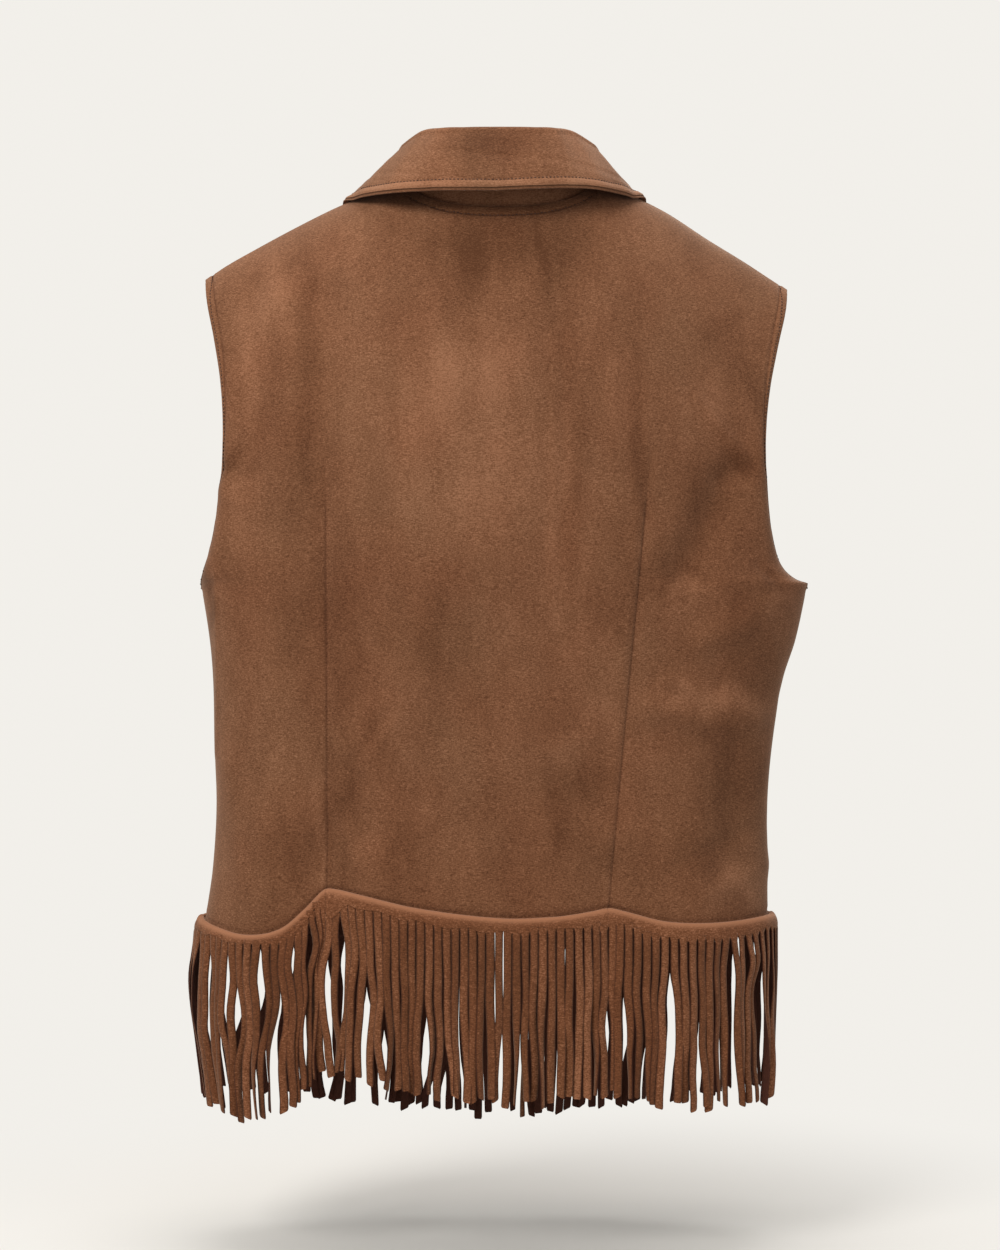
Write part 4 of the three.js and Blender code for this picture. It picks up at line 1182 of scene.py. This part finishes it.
ROOT_ABOVE_CUT = 2.6  # how far a strand begins above its cut, inside the band
SHINGLE = 0.2  # how far each strand turns, so that it overlaps the next one
STEEP_SEAM = {"x": -139, "half_width": 10, "turn": 0.8}  # beside the left dart the strands stand on edge


def strand(line, along, number):
    """One strand: a cut ribbon that leaves the band flush and then hangs, sways and twists."""
    half = line["half"]
    low, slope, outward = on_line(line, along)
    own, _ = heading_on(line, along, STRAND["width"] / 2)
    tangent, out = heading_on(line, along, 9)
    cut = float(cut_down(line, along))
    root_down = cut - ROOT_ABOVE_CUT
    root = low + slope * (STRIP["overlap"] - root_down)
    length = STRAND["length"] + 6 - root_down - STRAND["uneven"] * chance(number, 1)
    steep = STEEP_SEAM["turn"] * bell((root[0] - STEEP_SEAM["x"]) / STEEP_SEAM["half_width"])
    if half is FRONT:
        steep = 0
    near_cut = ROOT_ABOVE_CUT / length
    hanging = mix(near_cut, 0.99, np.linspace(0, 1, STRAND_RINGS - len(TOP_RINGS))[1:] ** 1.25)
    share = np.r_[near_cut * TOP_RINGS, hanging, 1]
    level = band_out(root_down + length * share, cut)
    below_cut = root_down + length * share - cut
    free = smooth((below_cut - 0.3) / 2.5)
    covering = mix(HIDDEN_HALF_CLOTH, COVERING_HALF_CLOTH, smooth((below_cut + 2.2) / 1.5))
    loose = smooth((share - 0.08) / 0.5)
    swing = mix(-3, 2, chance(number, 2)) * share**2
    lean = 5 * (chance(number, 3) - 0.5) * share**1.6
    curl_angle = share * (4 + 5 * chance(number, 5)) + 6.28 * chance(number, 6)
    curl = (0.3 + 1.1 * chance(number, 4)) * loose * np.sin(curl_angle)
    straight = 1 - 1.1 * smooth((root[0] - 160) / 40)
    bulge = STRAND["bulge"] * straight * np.sin(3.6 * share)
    bulge = bulge + 0.8 * loose * np.sin(7 * share + 6.28 * chance(number, 7))
    push = parting_push(half, root[0], share) * max(abs(out[1]), PARTING_AT_SIDE)
    outward_room = mix(0.15, 1, smooth(abs(out[1]) / 0.85))
    push = np.where(push * root[0] > 0, push * outward_room, push)
    inward = SIDE_LEAN * smooth((abs(root[0]) - 180) / 25) * share**2
    centre = root + np.outer(lean + curl, tangent) + np.outer(level + swing + bulge * free, out)
    centre[:, 0] += push - np.sign(root[0]) * inward
    centre[:, 2] -= length * share
    shingle = SHINGLE * (0.6 + 0.8 * chance(number, 11))
    twist = (steep - shingle) * free + (chance(number, 8) - 0.5) * (0.2 * free + 1.1 * share**1.3)
    if half is BACK and root[0] < TURNED_LEFT_OF:
        twist = twist + 1.5 * chance(number, 9) ** 0.5 * smooth((share - 0.04) / 0.3)
    elif chance(number, 9) > 1 - TURNED_CHANCE["side" if abs(root[0]) > 150 else "middle"]:
        twist = twist + math.copysign(1.3, chance(number, 10) - 0.5) * smooth((share - 0.25) / 0.7)
    early = (1 - loose)[:, None]
    flat = unit(own * early + tangent * (1 - early))
    facing = unit(np.stack([flat[:, 1], -flat[:, 0], 0 * share], axis=1))
    facing = facing * np.sign(np.sum(facing * out, axis=1, keepdims=True))
    across = flat * np.cos(twist)[:, None] + facing * np.sin(twist)[:, None]
    facing = facing * np.cos(twist)[:, None] - flat * np.sin(twist)[:, None]
    width = STRAND["width"] * (1 + 0.07 * wave(share * 3, 1, number + 70) * free)
    width[-1] *= 0.8
    slant = 2.6 * (chance(number, 13) - 0.5)
    rings = []
    for i in range(STRAND_RINGS):
        u = STRAND_SECTION[:, :1] * width[i] / 2
        w = mix(FLAT_SECTION * covering[i], STRAND_SECTION[:, 1:] * STRAND["cloth"] / 2, free[i])
        ring = centre[i] + u * across[i] + w * facing[i]
        if i >= STRAND_RINGS - 2:
            ring[:, 2] += slant * STRAND_SECTION[:, 0]
        rings.append(ring)
    rings = np.array(rings)
    sides = len(STRAND_SECTION)
    at = np.arange(STRAND_RINGS * sides).reshape(STRAND_RINGS, sides)
    after = np.roll(at, -1, axis=1)
    quads = np.stack([at[:-1], after[:-1], after[1:], at[1:]], axis=-1).reshape(-1, 4)
    turned_over = np.cross(tangent, out)[2] > 0
    if turned_over:
        quads = quads[:, ::-1]
    caps = [at[0].tolist(), at[-1].tolist()]
    caps[0 if turned_over else 1].reverse()
    faces = quads.tolist() + caps
    around = [0 if s in OUTSIDE_FACES else 1 for s in range(sides)]
    slots = around * (STRAND_RINGS - 1) + [0, 1]
    tone = np.repeat(mix(0.6, chance(number, 14), smooth(share / 0.12)), sides)
    # Painted shade: the cut edges are darkened, standing in for the shade between the strands.
    edge_shade = np.outer(free, STRAND_EDGE_SHADE).reshape(-1)
    return rings.reshape(-1, 3), faces, slots, tone, edge_shade


def fringe(name, line, start, end, first_number, materials):
    """One length of fringe: its band and its strands in one mesh. Returns its number of strands."""
    start, end = start - SEAM_LAP, end + SEAM_LAP
    points, faces, slots, band_highlight = band(line, start, end)
    points, tones, edge_shades = [points], [np.full(len(points), 0.6)], [np.zeros(len(points))]
    first = start + STRAND["margin"]
    room = end - STRAND["margin"] - first
    count = int(room / STRAND["pitch"])
    pitch = room / count
    offset = len(points[0])
    for i in range(count):
        along = first + pitch * (i + 0.5)
        made, made_faces, made_slots, tone, edge_shade = strand(line, along, first_number + i)
        faces += [[v + offset for v in face] for face in made_faces]
        slots += made_slots
        points.append(made)
        tones.append(tone)
        edge_shades.append(edge_shade)
        offset += len(made)
    tone = np.concatenate(tones)
    wear_and_highlight = np.r_[band_highlight, np.zeros(len(tone) - len(band_highlight))]
    # The band's painted highlight goes into edge, and the strands' painted edge shade into relief.
    mesh = mesh_of(
        name + "_cloth", np.vstack(points), faces, materials, slots,
        {"nap_and_painted_light": tone - 0.5, "relief": np.concatenate(edge_shades), "edge": wear_and_highlight},
    )
    piece = add_object(name + "_cloth", mesh)
    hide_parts(name)
    return count


# Materials

def add_node(tree, kind, inputs=None, **settings):
    node = tree.nodes.new(kind)
    for key, value in settings.items():
        setattr(node, key, value)
    for key, value in (inputs or {}).items():
        if isinstance(value, bpy.types.NodeSocket):
            tree.links.new(value, node.inputs[key])
        else:
            node.inputs[key].default_value = value
    return node


def scaled_noise(tree, coords, scale, detail=2.0, roughness=0.55):
    """Noise with a scale for each axis, in cells for each metre."""
    mapping = add_node(tree, "ShaderNodeMapping", {"Vector": coords, "Scale": scale})
    inputs = {"Vector": mapping.outputs[0], "Scale": 1.0, "Detail": detail, "Roughness": roughness}
    return add_node(tree, "ShaderNodeTexNoise", inputs).outputs["Fac"]


def math_node(tree, operation, a, b=0.0, c=0.0, clamp=False):
    node = add_node(tree, "ShaderNodeMath", {0: a, 1: b, 2: c}, operation=operation, use_clamp=clamp)
    return node.outputs[0]


def ramp(tree, value, *stops):
    node = add_node(tree, "ShaderNodeValToRGB", {"Fac": value})
    elements = node.color_ramp.elements
    while len(elements) < len(stops):
        elements.new(0.5)
    for element, (position, color) in zip(elements, stops):
        element.position = position
        element.color = (*color, 1)
    return node.outputs["Color"]


def blend_color(tree, kind, factor, a, b):
    node = tree.nodes.new("ShaderNodeMix")
    node.data_type = "RGBA"
    node.blend_type = kind
    for socket, value in ((node.inputs[0], factor), (node.inputs[6], a), (node.inputs[7], b)):
        if isinstance(value, bpy.types.NodeSocket):
            tree.links.new(value, socket)
        else:
            socket.default_value = value
    return node.outputs[2]


def attribute(tree, name):
    return add_node(tree, "ShaderNodeAttribute", attribute_name=name).outputs["Fac"]


def weighted_sum(tree, start, *terms):
    """A start value and some values, each times its weight."""
    total = start
    for value, weight in terms:
        total = math_node(tree, "MULTIPLY_ADD", value, weight, total)
    return total


def new_material(name):
    """A material with its node tree, its shader and the coordinates of its piece."""
    material = bpy.data.materials.new(name)
    material.use_nodes = True
    tree = material.node_tree
    coords = add_node(tree, "ShaderNodeTexCoord").outputs["Object"]
    return material, tree, tree.nodes["Principled BSDF"], coords


def bumped(tree, shader, height, strength, distance):
    """Gives a shader fine relief from a height, with a distance in metres."""
    bump = add_node(tree, "ShaderNodeBump", {"Strength": strength, "Distance": distance, "Height": height})
    tree.links.new(bump.outputs[0], shader.inputs["Normal"])


# The grain's layers, with their cells for each metre and their weights: upright, level and even
GRAIN = (((1900, 1900, 600), 0.32), ((480, 480, 1800), 0.5), ((1000, 1000, 1300), 0.18))


def suede(name, dark, base, light, red, strength=0.35):
    """Brushed faux suede: a linen-like melange grain, soft nap marks with painted shade and light, painted
    shade in grooves, and lighter edges, as wear and painted highlight.
    """
    material, tree, shader, coords = new_material(name)
    threads = [(scaled_noise(tree, coords, scale, 1.0), weight) for scale, weight in GRAIN]
    grain = weighted_sum(tree, 0.0, *threads)
    patches = scaled_noise(tree, coords, (20, 20, 13), 3.0, 0.5)
    strokes = scaled_noise(tree, coords, (80, 80, 24), 3.0, 0.6)
    hue = scaled_noise(tree, coords, (15, 15, 11), 2.0)
    nap_and_light_here, relief_shade = attribute(tree, "nap_and_painted_light"), attribute(tree, "relief")
    # The tone takes in the painted shade and light of the nap marks, and the relief's painted shade in
    # grooves and painted highlight on raised plies.
    tone = weighted_sum(
        tree, -1.18, (grain, 2.5), (patches, 0.5), (strokes, 0.3), (nap_and_light_here, 0.3), (relief_shade, 0.14),
    )
    color = ramp(tree, tone, (0.0, dark), (0.5, base), (1.0, light))
    redder = blend_color(tree, "MULTIPLY", 1.0, color, (*red, 1))
    reddened = math_node(tree, "MULTIPLY_ADD", hue, 1.6, -0.55, clamp=True)
    color = blend_color(tree, "MIX", reddened, color, redder)
    # Painted shade: grooves and creases, where the relief is below zero, are darkened.
    groove = math_node(tree, "MULTIPLY_ADD", relief_shade, -1.1, -0.12, clamp=True)
    color = blend_color(tree, "MULTIPLY", groove, color, (0.42, 0.34, 0.3, 1))
    # Edges are lightened towards the light colour, as wear and painted highlight.
    wear_and_highlight = math_node(tree, "MULTIPLY", attribute(tree, "edge"), 0.3, clamp=True)
    color = blend_color(tree, "MIX", wear_and_highlight, color, (*light, 1))
    tree.links.new(color, shader.inputs["Base Color"])
    rough = math_node(tree, "MULTIPLY_ADD", patches, 0.1, 0.84)
    tree.links.new(rough, shader.inputs["Roughness"])
    bumped(tree, shader, weighted_sum(tree, grain, (strokes, 0.5)), strength, 0.0005)
    shader.inputs["Sheen Weight"].default_value = 0.3
    shader.inputs["Sheen Roughness"].default_value = 0.5
    shader.inputs["Sheen Tint"].default_value = (0.9, 0.66, 0.5, 1)
    shader.inputs["Specular IOR Level"].default_value = 0.2
    return material


def reverse_side():
    """The dark smooth reverse of the cloth, with its fine knit backing."""
    material, tree, shader, coords = new_material("reverse")
    knit = scaled_noise(tree, coords, (1300, 1300, 500), 2.0)
    patches = scaled_noise(tree, coords, (30, 30, 18), 2.0)
    tone = weighted_sum(tree, 0.0, (knit, 0.6), (patches, 0.4))
    color = ramp(tree, tone, (0.2, (0.032, 0.009, 0.005)), (0.8, (0.085, 0.026, 0.014)))
    tree.links.new(color, shader.inputs["Base Color"])
    bumped(tree, shader, knit, 0.3, 0.0003)
    tree.links.new(math_node(tree, "MULTIPLY_ADD", patches, 0.2, 0.7), shader.inputs["Roughness"])
    shader.inputs["Specular IOR Level"].default_value = 0.2
    return material


def thread():
    """Matt brown sewing thread."""
    material, tree, shader, coords = new_material("thread")
    ply = scaled_noise(tree, coords, (2600, 2600, 2600), 1.0)
    color = ramp(tree, ply, (0.3, (0.035, 0.013, 0.006)), (0.7, (0.085, 0.033, 0.016)))
    tree.links.new(color, shader.inputs["Base Color"])
    bumped(tree, shader, ply, 0.4, 0.0002)
    shader.inputs["Roughness"].default_value = 0.7
    return material


# Stage, light and camera

CAMERA_AWAY = 2.0
CAMERA_Z = -0.333
FOCAL_PIXELS = 2666.7
PHOTO_HEIGHT = 1250  # pixels, the longer side
SENSOR = 36.0
FLOOR_Z = -0.794
BACKDROP = (0.888, 0.866, 0.823)
AMBIENT = 0.42  # strength of the light that the backdrop gives
FLOOR_COLOR = (0.8, 0.787, 0.757, 1)
FLOOR_SHADE = {"half_x": 0.2, "half_y": 0.1, "depth": 0.25}  # a soft shadow painted into the floor's colour under the vest
FLOOR_REACH = 30.0
FLOOR_FADE = {"start": 0.15, "end": 0.62}  # where the floor fades into the backdrop
LIGHTS_FACE = (0, 0, -0.35)


def seen_or_felt(tree, seen, felt):
    """One strength for what the camera sees and another for the light that it gives."""
    path = add_node(tree, "ShaderNodeLightPath")
    return math_node(tree, "MULTIPLY_ADD", path.outputs["Is Camera Ray"], seen - felt, felt)


def faded(tree, coords, spread, distances_from_to, values_from_to):
    """A value that changes smoothly with the distance from the middle, which spread stretches."""
    place = add_node(tree, "ShaderNodeVectorMath", {0: coords, 1: spread}, operation="MULTIPLY").outputs[0]
    away = add_node(tree, "ShaderNodeVectorMath", {0: place}, operation="LENGTH").outputs["Value"]
    ends = dict(enumerate((away, *distances_from_to, *values_from_to)))
    return add_node(tree, "ShaderNodeMapRange", ends, interpolation_type="SMOOTHSTEP").outputs[0]


def stage():
    """A pale floor with a soft shadow painted under the vest, which fades into an even backdrop."""
    world = bpy.data.worlds.new("backdrop")
    world.use_nodes = True
    background = world.node_tree.nodes["Background"]
    background.inputs["Color"].default_value = (*BACKDROP, 1)
    world.node_tree.links.new(seen_or_felt(world.node_tree, 1.0, AMBIENT), background.inputs["Strength"])
    bpy.context.scene.world = world
    mesh = bpy.data.meshes.new("floor")
    corners = [(x * FLOOR_REACH, y * FLOOR_REACH, FLOOR_Z) for x, y in ((-1, -1), (1, -1), (1, 1), (-1, 1))]
    mesh.from_pydata(corners, [], [(0, 1, 2, 3)])
    floor = add_object("floor", mesh, None)
    material, tree, shader, coords = new_material("floor")
    shader.inputs["Roughness"].default_value = 0.9
    shader.inputs["Specular IOR Level"].default_value = 0.0
    strength = seen_or_felt(tree, 1.0, AMBIENT)
    glow = add_node(tree, "ShaderNodeEmission", {"Color": (*BACKDROP, 1), "Strength": strength})
    spread = (1 / FLOOR_SHADE["half_x"], 1 / FLOOR_SHADE["half_y"], 0.0)
    # Painted shadow: the floor's colour is darkened in a soft ellipse under the vest.
    shade = faded(tree, coords, spread, (0.0, 2.0), (FLOOR_SHADE["depth"], 0.0))
    tree.links.new(blend_color(tree, "MIX", shade, FLOOR_COLOR, (0, 0, 0, 1)), shader.inputs["Base Color"])
    fade = faded(tree, coords, (1.0, 1.0, 0.0), (FLOOR_FADE["start"], FLOOR_FADE["end"]), (0.0, 1.0))
    both = add_node(tree, "ShaderNodeMixShader", {0: fade, 1: shader.outputs[0], 2: glow.outputs[0]})
    tree.links.new(both.outputs[0], tree.nodes["Material Output"].inputs["Surface"])
    mesh.materials.append(material)


def area_light(name, location, size, power, color):
    """A round soft light that faces the middle of the vest."""
    light = bpy.data.lights.new(name, "AREA")
    light.shape = "DISK"
    light.size = size
    light.energy = power
    light.color = color
    lamp = add_object(name, light, None)
    lamp.location = location
    lamp.rotation_euler = (Vector(LIGHTS_FACE) - Vector(location)).to_track_quat("-Z", "Y").to_euler()


def lights():
    """Four soft lamps: the key from the left behind the camera, a weak fill, one above and one beyond."""
    area_light("key", (-1.1, -1.6, 1.0), 1.1, 41, (1.0, 0.97, 0.93))
    area_light("fill", (1.8, -1.6, 0.4), 1.6, 11, (1.0, 0.98, 0.97))
    area_light("top", (0.0, 0.1, 2.2), 2.0, 30, (1.0, 0.98, 0.96))
    area_light("behind", (0.9, 2.0, 0.8), 1.5, 14, (1.0, 0.98, 0.96))


def camera():
    """A level camera at the photo's angle of view."""
    data = bpy.data.cameras.new("camera")
    data.sensor_fit = "AUTO"
    data.sensor_width = SENSOR
    data.lens = FOCAL_PIXELS / PHOTO_HEIGHT * SENSOR
    eye = add_object("camera", data, None)
    eye.location = (0, -CAMERA_AWAY, CAMERA_Z)
    eye.rotation_euler = (math.pi / 2, 0, 0)
    bpy.context.scene.camera = eye


PANELS = (("back", BACK, None), ("front_left", FRONT, "left"), ("front_right", FRONT, "right"))
NECK_STITCH_REACH = 68  # the stitches below the neck seam end this far from the centre
SEAM_PLACES = 160  # along each side of the fringe's seam


def build_panels(cloth, reverse, sewing):
    """The back and the two fronts, with their topstitching."""
    for name, half, side in PANELS:
        piece, surface, edges, neckline = panel(name + "_cloth", half, side, [cloth, reverse])
        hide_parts(name)
        rows = [(surface, inset_line(surface, edge, TOPSTITCH_IN)) for edge in edges]
        if half is BACK:
            neck = inset_line(surface, neckline, NECK_TOPSTITCH_IN)
            rows.append((surface, neck[np.abs(neck[:, 0]) < NECK_STITCH_REACH]))
        stitches(name + "_stitches", rows, sewing)


def build_collar(cloth, sewing):
    """The collar, with its topstitching."""
    piece, surface, edges = collar([cloth])
    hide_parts("collar")
    rows = [(surface, inset_line(surface, edge, COLLAR_STITCH_IN)) for edge in edges]
    stitches("collar_stitches", rows, sewing)


def build_fringe(cloth, reverse):
    """The five lengths of fringe, which join at the back darts and the side seams."""
    left_edge = float(row_edge("left", np.zeros(1))[0])
    right_edge = float(row_edge("right", np.zeros(1))[0])
    side_share = np.sin(np.linspace(0, math.pi / 2, SEAM_PLACES))
    back_x = np.r_[-left_edge * side_share[::-1], right_edge * side_share[1:]]
    inner = FRONT_OPENING["hem"] / 2
    to_left = -(left_edge + (inner - left_edge) * (1 - side_share[::-1]))
    to_right = inner + (right_edge - inner) * side_share
    back_line = seam_line(BACK, back_x)
    left_line = seam_line(FRONT, to_left)
    right_line = seam_line(FRONT, to_right[::-1])
    dart_left, dart_right = [
        float(np.interp(dart_x(side, SIDE_HEM_Z), back_x, back_line["along"])) for side in ("left", "right")
    ]
    lengths = [
        ("fringe_back_left", back_line, 0, dart_left),
        ("fringe_back_center", back_line, dart_left, dart_right),
        ("fringe_back_right", back_line, dart_right, back_line["along"][-1]),
        ("fringe_front_left", left_line, 0, left_line["along"][-1]),
        ("fringe_front_right", right_line, 0, right_line["along"][-1]),
    ]
    number = 0
    for name, line, start, end in lengths:
        number += fringe(name, line, start, end, number, [cloth, reverse])


def build():
    suede_cloth = suede(
        "suede", dark=(0.085, 0.029, 0.0095), base=(0.18, 0.076, 0.0345), light=(0.315, 0.15, 0.08),
        red=(1.06, 0.93, 0.88),
    )
    # The fringe's suede is a darker, more saturated copy of the panels': painted shade among the strands.
    shaded_fringe_cloth = suede(
        "fringe", dark=(0.076, 0.024, 0.007), base=(0.15, 0.052, 0.019), light=(0.345, 0.15, 0.076),
        red=(1.04, 0.95, 0.92),
    )
    reverse = reverse_side()
    sewing = thread()
    build_panels(suede_cloth, reverse, sewing)
    build_collar(suede_cloth, sewing)
    build_fringe(shaded_fringe_cloth, reverse)


build()
stage()
lights()
camera()
scene = bpy.context.scene
scene.view_settings.view_transform = "Standard"
scene.view_settings.look = "None"
